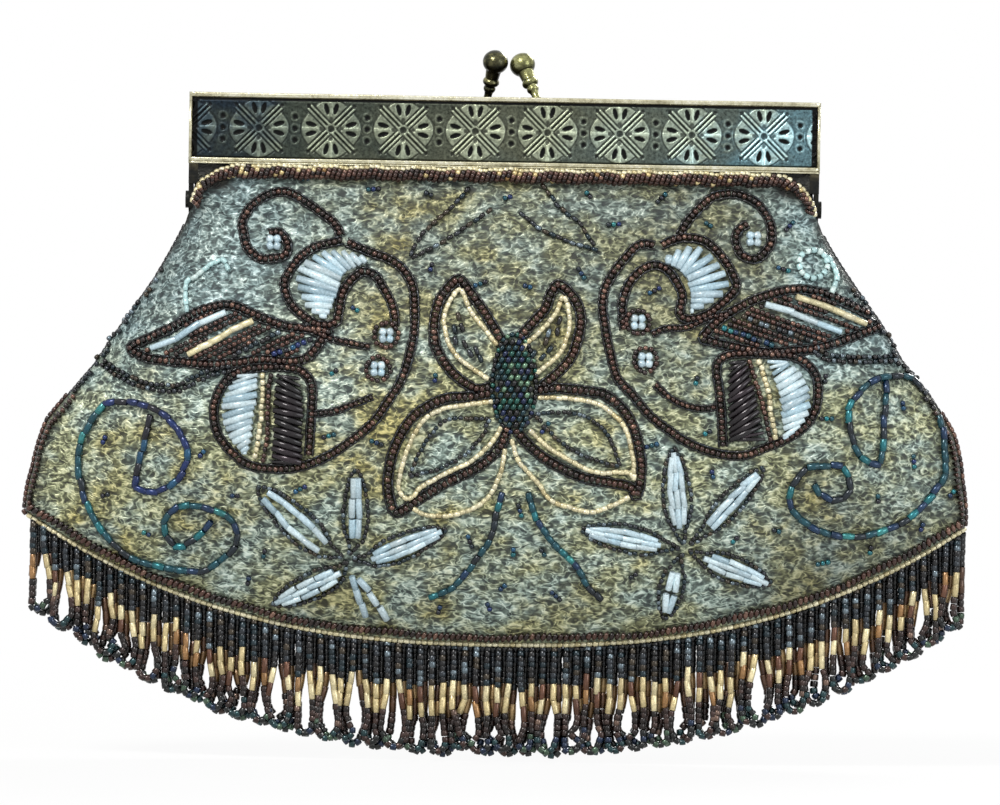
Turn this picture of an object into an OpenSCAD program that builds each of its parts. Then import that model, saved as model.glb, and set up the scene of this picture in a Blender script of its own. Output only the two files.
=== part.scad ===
// Kiss lock frame purse: a beaded evening bag on a hinged metal frame.
// Upright, front towards -Y, millimetres, origin under the middle of the fringe.

/* [Frame] */
// Width of the metal frame
frame_w = 160; // [140:1:180]
// Height of the frame's band, over both rails
band_h = 18; // [15:0.5:22]
// Depth of one frame half, from the meeting line to the face of its rails
half_depth = 6.5; // [6.2:0.1:8]
// Gap between the closed halves
closed_gap = 0.4; // [0.2:0.1:0.8]
// Thickness of the frame's sheet metal
sheet = 0.7; // [0.5:0.1:1]
// How far the rails stand proud of the backing wall
rail_proud = 0.8; // [0.7:0.1:1.2]
// Height of the top rail
top_rail_h = 1; // [0.8:0.1:2]
// Height of the lower rail
low_rail_h = 1.5; // [1:0.1:3]

/* [Filigree plate] */
// Thickness of the pierced plate
plate_t = 0.4; // [0.3:0.1:0.6]
// Clearance round the plate
plate_clear = 0.1; // [0.05:0.05:0.3]
// Distance between neighbouring rosettes
rosette_pitch = 18.3; // [16:0.1:24]
// Number of rosettes
rosettes = 8; // [2:2:8]
// Least margin between the outermost piercings and the plate's ends
plate_end = 2; // [1:0.5:6]
// Height of the raised spokes above the plate
spoke_rise = 0.2; // [0.1:0.05:0.3]
// Width of one spoke ridge
spoke_w = 0.4; // [0.3:0.05:0.6]
// Distance between the two ridges of a spoke
spoke_gap = 1.1; // [0.8:0.1:1.6]
// Width of a small square piercing
dot_w = 0.9; // [0.6:0.1:1.2]

/* [Hinge] */
// Distance from the band's lower edge down to the hinge pins
arm_drop = 9; // [8:0.5:14]
// Width of a side arm
arm_w = 2.5; // [2.5:0.1:3.5]
// Depth of a side arm
arm_d = 4.6; // [4:0.1:4.6]
// Radius of the hinge ears
ear_r = 3.5; // [3:0.1:3.8]
// Thickness of one ear
ear_t = 1.15; // [0.8:0.05:1.2]
// Radius of the hinge pin
pin_r = 1; // [0.7:0.1:1.3]
// Radius of the pin's outer head
pin_head_r = 2.2; // [1.8:0.1:2.8]
// Thickness of the pin's heads
pin_head_t = 0.8; // [0.5:0.1:1.2]
// Running clearance round the pin in the front ear
run_clear = 0.05; // [0.02:0.01:0.08]
// Clearance round the pin in the back ear, where it is seated
seat_clear = 0.01; // [0.01:0.01:0.02]

/* [Kiss lock] */
// Diameter of the lock balls
ball_d = 6.3; // [5:0.1:9]
// Free space between the balls as they pass
ball_gap = 0.4; // [0.2:0.1:1]
// Place of the lock along the frame
lock_x = 0.75; // [-20:0.25:20]
// Height of the front ball's centre above the frame
front_ball_rise = 8.9; // [7:0.1:12]
// Height of the back ball's centre above the frame
back_ball_rise = 9.5; // [7:0.1:12]
// Sideways lean of the front post
front_lean = 3.9; // [1:0.1:6]
// Sideways lean of the back post
back_lean = 2; // [1:0.1:6]
// How far each ball reaches past the meeting line
ball_cross = 0.4; // [0:0.1:1]
// Diameter of the post's stem
stem_d = 2.2; // [1.6:0.1:3]
// Diameter of the large collar under the ball
collar_d = 4.2; // [3:0.1:5]
// Diameter of the small collar
small_collar_d = 3; // [2.4:0.1:4]
// Diameter of the post's foot
foot_d = 3.6; // [3:0.1:5]
// Thickness of the post's foot
foot_t = 0.5; // [0.4:0.1:1]

/* [Bag] */
// Greatest width of the bag, at its bottom corners
bag_w = 242; // [200:1:280]
// Distance from the top of the frame down to the lowest point of the bag
bag_drop = 138.5; // [120:0.5:170]
// Distance from the top of the frame down to the bottom corners
corner_drop = 107; // [90:0.5:115]
// Distance from the hinge down to the start of the bag's body
body_gap = 4.2; // [4:0.1:8]
// Half thickness of the bag below the hinge
neck_half = 7.3; // [5:0.1:9]
// Half thickness of the bag at its fullest
belly_half = 15; // [10:0.5:24]
// How far down the body the fullest place lies, as a share of its height
belly_at = 0.55; // [0.4:0.05:0.7]
// Half thickness of the seams at the edges
seam_half = 1.6; // [1.5:0.1:2.5]
// Thickness of the interlined gold cloth
cloth_t = 0.9; // [0.6:0.1:1]
// Thickness of the lining
lining_t = 0.4; // [0.2:0.1:0.5]
// Gap between the plies
ply_gap = 0.1; // [0.05:0.05:0.1]
// Height above the hinge of the lower edge of the cloth strip that hangs in the frame
yoke_lift = 1; // [0.5:0.1:3]
// Clearance over the top edge of that strip
yoke_top_clear = 2; // [1:0.5:4]
// Thickness of the doubled cloth strip in the frame's channel
yoke_t = 1.3; // [0.9:0.1:1.6]
// Clearance between neighbouring pieces of cloth
cloth_clear = 0.1; // [0.05:0.05:0.3]
// Thickness of the strip that clamps the cloth
clamp_t = 1; // [0.6:0.1:1.4]
// Height of the strip that clamps the cloth
clamp_h = 9; // [6:0.5:12]
// Clearance between the cloth strip and the side arms
yoke_side_clear = 0.6; // [0.3:0.1:2]

/* [Bead trims] */
// Diameter of the bead rope under the frame
top_rope_d = 3; // [2:0.1:4]
// Bend radius of that rope at its ends
top_rope_bend = 10; // [6:0.5:14]
// Width of the double bead row along the seam
seam_rope_w = 3.2; // [2:0.1:5]
// Thickness of the double bead row along the seam
seam_rope_t = 1.7; // [1:0.1:2.4]
// Distance of the double bead row from the edge
seam_rope_inset = 2.6; // [2:0.1:5]
// Diameter of the bead line on the edge
edge_line_d = 1.4; // [1:0.1:2]
// Clearance between a trim and what it is sewn to
trim_clear = 0.15; // [0.1:0.05:0.3]

/* [Embroidery] */
// Width of a double row of beads
row_w = 2.8; // [2:0.1:3.2]
// Width of a single row of beads
line_w = 1.4; // [1:0.1:1.6]
// Thickness of the sewn rows
row_t = 1.4; // [1:0.1:1.6]
// Width of the butterfly's body
body_w = 10.9; // [8:0.1:12]
// Thickness of the butterfly's body
body_t = 2.2; // [1.5:0.1:3]

/* [Fringe] */
// Length of the fringe below the bag's lowest point
fringe_drop = 29.1; // [15:0.1:45]
// Length of the fringe at the bottom corners
fringe_end_drop = 23; // [10:0.5:40]
// Distance of the fringe's ends from the bag's corners
fringe_inset = 2; // [1:0.5:8]
// Number of fringe sections
fringe_sections = 7; // [7:1:7]
// Number of loops in one section
section_loops = 6; // [4:1:7]
// Diameter of a bead strand
strand_d = 1.7; // [1.2:0.1:2]
// Diameter of the header that carries a section's loops
header_d = 1.4; // [1:0.1:2]
// Gap between the headers of neighbouring sections
header_gap = 1.2; // [1:0.1:2]
// Gap between the bag's edge line and the fringe's hinge line
header_drop = 1; // [0.8:0.1:2]

/* [Hidden] */

$fn = 48;
eps = 0.01;
// A bend is a little fatter than the straight strand that runs into it
joint_swell = 0.1;
joint_lap = 0.1;

z_top = bag_drop + fringe_drop;
z_band = z_top - band_h;
z_hinge = z_band - arm_drop;
z_body = z_hinge - body_gap;
z_corner = z_top - corner_drop;
hem_sag = bag_drop - corner_drop;

half_gap = closed_gap / 2;
wall_in = half_depth - rail_proud - sheet;
plate_w = frame_w - 2 * sheet - 2 * plate_clear;
plate_h = band_h - top_rail_h - low_rail_h - 2 * plate_clear;
z_plate = z_band + low_rail_h + plate_clear + plate_h / 2;
pitch = min(rosette_pitch, (plate_w - 2 * plate_end) / rosettes);
z_arm_foot = z_hinge + ear_r + 0.5;
ear_out_x = frame_w / 2 - ear_t;
ear_in_x = frame_w / 2 - arm_w;
yoke_w = frame_w - 2 * (arm_w + yoke_side_clear);

brass = "#8f8a68";
dark_brass = "#6c705c";
pale_brass = "#c9c3a0";
gold_cloth = "#a3935c";
lining_cloth = "#b39a63";
bead_brown = "#57301f";
bead_gold = "#c9a86a";
bead_dark = "#2b3338";
bead_teal = "#1d4750";
bead_white = "#c9d6da";
steel = "#8c9095";

// A copy for the front half as drawn, or its mirror image for the back half
module on_side(back) {
  if (back) mirror([0, 1, 0]) children();
  else children();
}

// Extrudes a drawing of (distance from the meeting line, height) along the frame
module along_frame(length) {
  translate([-length / 2, 0, 0]) rotate([90, 0, 90]) linear_extrude(length) children();
}

module channel_section() {
  polygon([
    [-half_gap, z_band + sheet], [-half_gap, z_top], [-half_depth, z_top],
    [-half_depth, z_top - top_rail_h], [-(wall_in + sheet), z_top - top_rail_h],
    [-(wall_in + sheet), z_band + low_rail_h], [-half_depth, z_band + low_rail_h],
    [-half_depth, z_band], [-wall_in, z_band], [-wall_in, z_top - sheet],
    [-(half_gap + sheet), z_top - sheet], [-(half_gap + sheet), z_band + sheet]
  ]);
}

module arm(side) {
  mirror([side < 0 ? 1 : 0, 0, 0]) difference() {
    translate([ear_in_x, -(half_gap + arm_d), z_arm_foot])
      cube([arm_w, arm_d, z_band + sheet - z_arm_foot]);
    translate([ear_in_x - eps, -(half_gap + arm_d - sheet), z_arm_foot + sheet])
      cube([arm_w - sheet + eps, arm_d - 2 * sheet, band_h]);
  }
}

// One lapped ear on the hinge line, with its stalk up to the arm
module ear(side, x, hole_r) {
  mirror([side < 0 ? 1 : 0, 0, 0]) difference() {
    union() {
      translate([x, 0, z_hinge]) rotate([0, 90, 0]) cylinder(h = ear_t, r = ear_r);
      translate([x, -ear_r, z_hinge]) cube([ear_t, ear_r - half_gap, z_arm_foot + sheet - z_hinge]);
    }
    translate([x - ear_t, 0, z_hinge]) rotate([0, 90, 0]) cylinder(h = 3 * ear_t, r = hole_r);
  }
}

module frame_half(back) {
  color(brass) on_side(back) {
    along_frame(frame_w) channel_section();
    for (side = [-1, 1]) {
      translate([side * (frame_w - sheet) / 2 - sheet / 2, -half_depth, z_band])
        cube([sheet, half_depth - half_gap, band_h]);
      arm(side);
      ear(side, back ? ear_in_x : ear_out_x, pin_r + (back ? seat_clear : run_clear));
    }
  }
}

// One quarter's pair of tapered piercings, drawn for a rosette of unit radius
module rosette_slots(r) {
  for (q = [0 : 3], s = [0, 1]) rotate(90 * q) mirror([0, s, 0]) scale(r)
    polygon([[0.38, 0.1], [0.62, 0.07], [0.84, 0.09], [0.88, 0.18], [0.8, 0.26], [0.6, 0.22]]);
}

module rosette_spokes(r) {
  for (q = [0 : 3]) rotate(45 + 90 * q)
    for (s = [-1, 1]) translate([0.22 * r, s * spoke_gap / 2 - spoke_w / 2])
      square([0.98 * r, spoke_w]);
}

module filigree(back) {
  rosette_r = plate_h / 2 - spoke_w;
  first = -(rosettes - 1) / 2;
  color(dark_brass) on_side(back) translate([0, -(wall_in + sheet), z_plate]) rotate([90, 0, 0]) {
    linear_extrude(plate_t) difference() {
      square([plate_w, plate_h], center = true);
      for (i = [0 : rosettes - 1]) translate([(first + i) * pitch, 0]) rosette_slots(rosette_r);
      for (i = [0 : rosettes], k = [-1 : 1])
        translate([(first + i - 0.5) * pitch, k * plate_h / 5]) square(dot_w, center = true);
    }
    linear_extrude(plate_t + spoke_rise) for (i = [0 : rosettes - 1])
      translate([(first + i) * pitch, 0]) {
        rosette_spokes(rosette_r);
        circle(r = spoke_gap);
      }
  }
}

module yoke(back) {
  z_low = z_hinge + yoke_lift;
  color(gold_cloth) on_side(back)
    translate([-yoke_w / 2, -wall_in, z_low])
      cube([yoke_w, yoke_t, z_top - sheet - yoke_top_clear - z_low]);
}

// The cloth that folds as the frame opens, from the hanging strip to the bag's body
module neck_cloth(back) {
  z_high = z_hinge + yoke_lift - cloth_clear;
  z_low = z_body + cloth_clear;
  color(gold_cloth) on_side(back) along_frame(yoke_w) polygon([
    [-wall_in, z_high], [-neck_half, z_low], [yoke_t - neck_half, z_low], [yoke_t - wall_in, z_high]
  ]);
}

module clamp_strip(back) {
  color(steel) on_side(back)
    translate([-yoke_w / 2, -wall_in + yoke_t, z_band + band_h / 2 - clamp_h / 2])
      cube([yoke_w, clamp_t, clamp_h]);
}

module lock_post_profile(height) {
  rotate_extrude() {
    polygon([
      [0, 0], [foot_d / 2, 0], [foot_d / 2, foot_t], [stem_d / 2, foot_t],
      [stem_d / 2, height * 0.2], [small_collar_d / 2, height * 0.24],
      [small_collar_d / 2, height * 0.31], [stem_d / 2, height * 0.35],
      [stem_d / 2, height * 0.4], [collar_d / 2, height * 0.45],
      [collar_d / 2, height * 0.57], [stem_d / 2, height * 0.63],
      [stem_d / 2, height], [0, height]
    ]);
    intersection() {
      translate([0, height]) circle(d = ball_d);
      translate([0, height - ball_d]) square([ball_d, 2 * ball_d]);
    }
  }
}

// A post from its foot on the frame to its ball, which leans past the meeting line
module lock_post(back) {
  side = back ? -1 : 1;
  ball_x = lock_x + side * (ball_d + ball_gap) / 2;
  lean = back ? back_lean : front_lean;
  rise = back ? back_ball_rise : front_ball_rise;
  lean_y = half_depth / 2 + ball_cross;
  height = norm([lean, lean_y, rise]);
  color(pale_brass) difference() {
    translate([ball_x + side * lean, -side * half_depth / 2, z_top])
      rotate([0, 0, atan2(side * lean_y, -side * lean)])
        rotate([0, acos(rise / height), 0]) translate([0, 0, -foot_t / 2]) lock_post_profile(height);
    translate([lock_x - frame_w / 2, -frame_w / 2, z_top - frame_w])
      cube([frame_w, frame_w, frame_w]);
  }
}

module hinge_pin(side) {
  outer_x = frame_w / 2 + run_clear;
  color(pale_brass) mirror([side < 0 ? 1 : 0, 0, 0])
    translate([ear_in_x - pin_head_t, 0, z_hinge]) rotate([0, 90, 0]) {
      cylinder(h = pin_head_t, r = pin_head_r - 0.4);
      cylinder(h = outer_x - ear_in_x + pin_head_t + eps, r = pin_r);
      translate([0, 0, outer_x - ear_in_x + pin_head_t]) cylinder(h = pin_head_t, r = pin_head_r);
    }
}

// Shape of the bag's body: u runs across from -1 to 1, v down from 0 to 1
top_half_w = frame_w / 2 + 0.5;
flare_power = 1.2;
hem_power = 2.5;
cols = 28;
rows = 18;

function width_at(v) = top_half_w + (bag_w / 2 - top_half_w) * sin(90 * pow(v, flare_power));
function side_z(v) = z_body + v * (z_corner - z_body);
function sag_at(v) = hem_sag * pow(v, 1.5);
function squareness(v) = 4 + 8 * pow(1 - v, 2);
function fullness(v) = (neck_half + (belly_half - neck_half) * sin(90 * min(v / belly_at, 1))
  - seam_half) * (1 - pow(v, 5));
function cloth_y(u, v) = fullness(v) * (1 - pow(abs(u), squareness(v)));
function cloth(u, v, off) = [
  u * width_at(v), -(cloth_y(u, v) + off), side_z(v) - sag_at(v) * (1 - pow(abs(u), hem_power))
];
// Columns are closer together near the side seams
function col_u(i) = let (t = 2 * i / cols - 1) sin(90 * t) * 0.5 + t * 0.5;

function grid(off) = [for (j = [0 : rows], i = [0 : cols]) cloth(col_u(i), j / rows, off)];
function at(i, j) = j * (cols + 1) + i;
function quad(a, b, c, d) = [[a, b, c], [a, c, d]];

// A ply of cloth between two distances from the middle plane
module ply(inner, outer) {
  n = (rows + 1) * (cols + 1);
  faces = [
    for (j = [0 : rows - 1], i = [0 : cols - 1])
      each quad(at(i, j), at(i, j + 1), at(i + 1, j + 1), at(i + 1, j)),
    for (j = [0 : rows - 1], i = [0 : cols - 1])
      each quad(n + at(i, j), n + at(i + 1, j), n + at(i + 1, j + 1), n + at(i, j + 1)),
    for (i = [0 : cols - 1]) each quad(at(i, 0), at(i + 1, 0), n + at(i + 1, 0), n + at(i, 0)),
    for (i = [0 : cols - 1])
      each quad(at(i + 1, rows), at(i, rows), n + at(i, rows), n + at(i + 1, rows)),
    for (j = [0 : rows - 1]) each quad(at(0, j + 1), at(0, j), n + at(0, j), n + at(0, j + 1)),
    for (j = [0 : rows - 1])
      each quad(at(cols, j), at(cols, j + 1), n + at(cols, j + 1), n + at(cols, j))
  ];
  polyhedron(points = concat(grid(outer), grid(inner)), faces = faces, convexity = 6);
}

module panel(back) {
  color(gold_cloth) on_side(back) ply(seam_half - cloth_t, seam_half);
}

module lining(back) {
  outer = seam_half - cloth_t - ply_gap;
  color(lining_cloth) on_side(back) ply(outer - lining_t, outer);
}

function unit(a) = a / norm(a);
function tangent(path, i) = unit(path[min(i + 1, len(path) - 1)] - path[max(i - 1, 0)]);

// A size that may be one number or a list with one for each ring
function ring(size, i) = is_list(size) ? size[i] : size;

// A closed tube of oval section along a path; thick is measured along out and width across it
module tube(path, out, width, thick, sides) {
  rings = len(path);
  points = [
    for (i = [0 : rings - 1])
      let (t = tangent(path, i), across = unit(cross(t, out[i])), up = cross(across, t))
        for (k = [0 : sides - 1])
          let (a = 360 * (k + 0.5) / sides)
            path[i] + across * cos(a) * ring(width, i) / 2 + up * sin(a) * ring(thick, i) / 2
  ];
  faces = [
    for (i = [0 : rings - 2], k = [0 : sides - 1])
      each quad(i * sides + k, (i + 1) * sides + k,
        (i + 1) * sides + (k + 1) % sides, i * sides + (k + 1) % sides),
    [for (k = [0 : sides - 1]) k],
    [for (k = [0 : sides - 1]) (rings - 1) * sides + sides - 1 - k]
  ];
  polyhedron(points = points, faces = faces, convexity = 8);
}

// The way round the bag in (u, v): down one side, round the corner, along the hem and up again
corner_u = 0.03;
corner_v = 0.06;
trim_start = 0.02;
function half_round(u_end, v_end, v_start) = concat(
  [for (k = [0 : 11]) [u_end, v_start + (v_end - corner_v - v_start) * k / 12]],
  [for (k = [0 : 4]) [u_end - corner_u * (1 - cos(22.5 * k)), v_end - corner_v * (1 - sin(22.5 * k))]],
  [for (k = [1 : 16]) [(u_end - corner_u) * (1 - k / 16), v_end]]
);
function mirrored(uv) = [for (i = [len(uv) - 2 : -1 : 0]) [-uv[i][0], uv[i][1]]];
function round_bag(u_end, v_end, v_start) = let (half = half_round(u_end, v_end, v_start))
  concat(half, mirrored(half));

function out_of_cloth(u, v) = let (d = 0.002)
  unit(cross(cloth(u, v + d, 0) - cloth(u, v - d, 0), cloth(u + d, v, 0) - cloth(u - d, v, 0)));

// A bead row or pad that lies on the front's cloth along points (u, v)
module sewn(uv, width, thick, sides) {
  out = [for (p = uv) let (n = out_of_cloth(p[0], p[1])) n[1] < 0 ? n : -n];
  path = [for (i = [0 : len(uv) - 1])
    cloth(uv[i][0], uv[i][1], seam_half) + out[i] * (ring(thick, i) / 2 + trim_clear)];
  tube(path, out, width, thick, sides);
}

module seam_rope(back) {
  uv = round_bag(1 - 2 * seam_rope_inset / bag_w, 1 - seam_rope_inset / (z_body - z_corner), trim_start);
  color(bead_brown) on_side(back) sewn(uv, seam_rope_w, seam_rope_t, 8);
}

// Points on the bag's very edge as (u, v, turn); turn goes from 0 to 1 round the sharp corner
edge_half = concat(
  [for (k = [0 : 11]) [1, trim_start + (1 - trim_start) * k / 12, 0]],
  [for (k = [0 : 4]) [1, 1, k / 4]],
  [for (k = [1 : 16]) [1 - k / 16, 1, 1]]
);
function edge_out(p) =
  let (d = 0.002, u = abs(p[0]), v = p[1],
    side = cloth(1, v + d, 0) - cloth(1, v - d, 0), hem = cloth(u + d, 1, 0) - cloth(u - d, 1, 0),
    out = unit((1 - p[2]) * unit([-side[2], 0, side[0]]) + p[2] * unit([hem[2], 0, -hem[0]])))
  [(p[0] < 0 ? -1 : 1) * out[0], 0, out[2]];

// The bead line on the bag's very edge, in the plane between the front and the back
module edge_line() {
  other_half = [for (i = [len(edge_half) - 2 : -1 : 0]) let (p = edge_half[i]) [-p[0], p[1], p[2]]];
  points = concat(edge_half, other_half);
  outward = [for (p = points) edge_out(p)];
  path = [for (i = [0 : len(points) - 1]) let (c = cloth(points[i][0], points[i][1], 0))
    [c[0], 0, c[2]] + outward[i] * (edge_line_d / 2 + trim_clear)];
  color(bead_gold) tube(path, outward, edge_line_d, edge_line_d, 8);
}

module top_rope(back) {
  x_bend = frame_w / 2 - top_rope_d / 2 - trim_clear - top_rope_bend;
  z_rope = z_band - trim_clear - top_rope_d / 2;
  turn = acos(1 - (z_rope - z_arm_foot) / top_rope_bend);
  color(bead_brown) on_side(back) translate([0, -(wall_in + trim_clear + top_rope_d / 2), z_rope]) {
    rotate([0, 90, 0]) translate([0, 0, -x_bend - joint_lap])
      cylinder(h = 2 * (x_bend + joint_lap), d = top_rope_d);
    for (side = [-1, 1]) mirror([side < 0 ? 1 : 0, 0, 0])
      translate([x_bend, 0, -top_rope_bend]) rotate([90, 0, 0]) rotate([0, 0, 90 - turn])
        rotate_extrude(angle = turn, $fn = 96)
          translate([top_rope_bend, 0]) circle(d = top_rope_d + joint_swell);
  }
}

// The hem's height, and the fringe's length below it, at a place across the bag
function hem_z(x) = z_corner - hem_sag * (1 - pow(min(abs(x) / (bag_w / 2), 1), hem_power));
function fringe_len(x) = fringe_drop - (fringe_drop - fringe_end_drop) * pow(2 * x / bag_w, 2);

fringe_half = bag_w / 2 - fringe_inset;
section_w = 2 * fringe_half / fringe_sections;
loop_pitch = section_w / section_loops;
edge_depth = edge_line_d + trim_clear + header_drop;

// Ends and middle of a section, and how far its straight hinge line must drop below the curved hem
function section_x(n, t) = -fringe_half + (n - 1 + t) * section_w;
function hem_slope(x) =
  sign(x) * hem_sag * hem_power * pow(2 * abs(x) / bag_w, hem_power - 1) * 2 / bag_w;
function header_z(n, t) =
  let (x0 = section_x(n, 0), x1 = section_x(n, 1), mid = section_x(n, 0.5))
    hem_z(t < 0.5 ? x0 : x1) - edge_depth * norm([1, hem_slope(mid)])
      - ((hem_z(x0) + hem_z(x1)) / 2 - hem_z(mid));

// One section's header and hanging loops; the header lies on the section's hinge line
module fringe(n) {
  x0 = section_x(n, 0);
  z0 = header_z(n, 0);
  slope = (header_z(n, 1) - z0) / section_w;
  color(bead_dark) {
    translate([x0 + header_gap / 2, 0, z0 + slope * header_gap / 2])
      rotate([0, atan2(1, slope), 0])
        cylinder(h = (section_w - header_gap) * norm([1, slope]), d = header_d);
    for (i = [0 : section_loops - 1]) {
      x = section_x(n, (i + 0.5) / section_loops);
      z_low = hem_z(x) - fringe_len(x) + strand_d / 2 + loop_pitch / 4;
      for (side = [-1, 1]) {
        leg_x = x + side * loop_pitch / 4;
        z_high = z0 + slope * (leg_x - x0) - abs(slope) * strand_d / 2;
        translate([leg_x, 0, z_low - joint_lap])
          cylinder(h = z_high - z_low + joint_lap, d = strand_d - joint_swell);
      }
      translate([x, 0, z_low]) rotate([90, 0, 0]) rotate([0, 0, 180])
        rotate_extrude(angle = 180, $fn = 32) translate([loop_pitch / 4, 0]) circle(d = strand_d, $fn = 24);
    }
  }
}

// The embroidery is drawn with points [across, down], in percent of the bag's half width and height
function catmull(a, b, c, d, t) =
  0.5 * (2 * b + (c - a) * t + (2 * a - 5 * b + 4 * c - d) * t * t + (3 * b - a - 3 * c + d) * t * t * t);
function curve(p, steps) = let (last = len(p) - 1) concat(
  [for (i = [0 : last - 1], k = [0 : steps - 1])
    catmull(p[max(i - 1, 0)], p[i], p[i + 1], p[min(i + 2, last)], k / steps) / 100],
  [p[last] / 100]
);
module strand(points, width = line_w, steps = 3) {
  sewn(curve(points, steps), width, row_t, 6);
}
module rows(list) {
  for (points = list) strand(points, line_w, 2);
}

module left_scroll() {
  color(bead_brown) {
    strand([[-50, 4], [-60, 3], [-72, 3], [-82, 5], [-82, 10], [-74, 14], [-67, 12]], row_w);
    strand([[-47, 10], [-56, 10], [-62, 16], [-61, 23], [-56, 28]], row_w);
    strand([[-45, 30], [-44, 22], [-39, 17], [-33, 21], [-29, 28]], row_w);
    strand([
      [-44, 6], [-33, 12], [-25, 20], [-22, 29], [-24, 38], [-28, 48], [-36, 58], [-46, 65],
      [-56, 66], [-64, 61], [-68, 54], [-66, 47], [-60, 43], [-52, 42]
    ], row_w);
    strand([[-41, 52], [-37, 50], [-32, 47]], row_w, 2);
  }
}

module right_scroll() {
  color(bead_brown) {
    strand([[56, 3], [64, 3], [74, 3], [83, 5], [84, 10], [77, 13], [71, 10]], row_w);
    strand([[50, 9], [60, 9], [67, 15], [65, 20], [59, 23], [52, 24]], row_w);
    strand([[49, 20], [48, 17], [44, 14], [38, 18], [35, 29]], row_w);
    strand([
      [44, 8], [36, 12], [30, 19], [28, 31], [30, 42], [36, 51], [45, 58], [56, 61], [66, 59],
      [74, 54], [77, 46], [72, 41], [64, 40], [59, 41]
    ], row_w);
    strand([[39, 44], [45, 48], [50, 49]], row_w, 2);
  }
}

module left_wing() {
  color(bead_brown) strand([
    [-50, 35], [-60, 31], [-74, 27], [-85, 33], [-92, 41], [-85, 44], [-72, 42], [-62, 38], [-56, 37]
  ], row_w);
}

module right_wing() {
  color(bead_brown) strand([
    [55, 31], [63, 25], [73, 21], [84, 19], [92, 24], [93, 31], [86, 35], [74, 34], [65, 34], [60, 34]
  ], row_w);
}

module wing_rows() {
  color(bead_gold) rows([
    [[-85, 39], [-77, 32]], [[-79, 39], [-71, 31]], [[-72, 38], [-65, 33]],
    [[79, 24], [88, 30]], [[73, 26], [82, 31]], [[67, 28], [75, 31]]
  ]);
}

module crescent_beads() {
  color(bead_white) rows([
    [[-57, 15], [-48, 15]], [[-58, 18], [-47, 18]], [[-58, 21], [-48, 21]], [[-56, 24], [-48, 24]],
    [[53, 14], [61, 14]], [[53, 17], [62, 17]], [[54, 20], [60, 20]]
  ]);
}

// The dark half-moons: blocks of long beads, one row above the other
module left_moon() {
  color(bead_dark) rows([
    for (k = [0 : 5]) [[-54 + 0.5 * k, 45 + 3 * k], [-48 + 0.5 * k, 46 + 3 * k]]
  ]);
}

module right_moon() {
  color(bead_dark) rows([
    for (k = [0 : 4]) [[57 - 0.5 * k, 46 + 3 * k], [62 - 0.5 * k, 43 + 3 * k]]
  ]);
}

module moon_lines() {
  color(bead_gold) rows([
    [[-58, 46], [-57, 54], [-55, 61]], [[-62, 48], [-62, 54], [-60, 59]],
    [[66, 44], [66, 50], [65, 54]], [[70, 45], [70, 50], [69, 54]]
  ]);
}

module left_vine() {
  color(bead_teal) {
    strand([[-87, 58], [-79, 57], [-72, 62], [-70, 70], [-74, 77], [-80, 78]]);
    strand([[-79, 62], [-79, 68], [-78, 73]], line_w, 2);
    strand([
      [-91, 61], [-93, 70], [-90, 80], [-84, 87], [-76, 91], [-67, 91], [-58, 88], [-55, 82],
      [-61, 78], [-68, 80], [-69, 85], [-64, 86]
    ]);
    strand([[-93, 48], [-86, 51], [-77, 50], [-72, 47]], line_w, 2);
    strand([[-84, 26], [-88, 21], [-85, 16], [-80, 18]], line_w, 2);
  }
}

module right_vine() {
  color(bead_teal) {
    strand([[91, 50], [85, 52], [81, 60], [82, 67], [86, 66], [88, 58]]);
    strand([
      [94, 53], [94, 62], [94, 72], [92, 80], [86, 86], [76, 87], [67, 82], [63, 75], [67, 70],
      [74, 71], [76, 77], [71, 78]
    ]);
    strand([[80, 40], [86, 42], [93, 43]], line_w, 2);
  }
}

module left_star() {
  color(bead_dark) {
    strand([[-37, 79], [-41, 74], [-48, 70], [-53, 71], [-51, 76], [-44, 80], [-39, 82]], line_w, 2);
    strand([[-29, 79], [-28, 74], [-29, 67], [-32, 63], [-35, 67], [-35, 74], [-33, 79]], line_w, 2);
    strand([[-25, 81], [-18, 78], [-11, 79], [-14, 83], [-21, 86], [-26, 86]], line_w, 2);
    strand([[-36, 86], [-44, 85], [-49, 88], [-45, 91], [-37, 90]], line_w, 2);
    strand([[-31, 87], [-29, 91]], line_w, 1);
    strand([[-26, 89], [-22, 91]], line_w, 1);
  }
}

module right_star() {
  color(bead_dark) {
    strand([[37, 75], [37, 70], [38, 65], [41, 61], [44, 65], [44, 70], [42, 76]], line_w, 2);
    strand([[47, 77], [49, 72], [55, 67], [60, 66], [58, 71], [52, 76], [48, 80]], line_w, 2);
    strand([[47, 83], [53, 82], [59, 86], [59, 90], [54, 90], [48, 87]], line_w, 2);
    strand([[38, 85], [35, 88], [35, 91], [40, 91], [43, 87]], line_w, 2);
    strand([[34, 79], [29, 76], [22, 76], [19, 79], [24, 82], [31, 84], [36, 83]], line_w, 2);
  }
}

module star_beads() {
  color(bead_white) rows([
    [[-41, 79], [-49, 73]], [[-31, 77], [-32, 68]], [[-23, 83], [-14, 81]], [[-39, 88], [-45, 88]],
    [[40, 75], [41, 66]], [[49, 76], [57, 69]], [[50, 84], [55, 87]], [[33, 81], [23, 79]]
  ]);
}

// The butterfly's body is a pad that tapers to both ends
module butterfly_body() {
  share = [for (k = [-6 : 6]) sin(14.5 * k)];
  uv = [for (t = share) [0.033, 0.43 + 0.155 * t]];
  taper = [for (t = share) sqrt(1 - t * t)];
  color(bead_teal) sewn(uv, body_w * taper, body_t * taper, 12);
}

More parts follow.
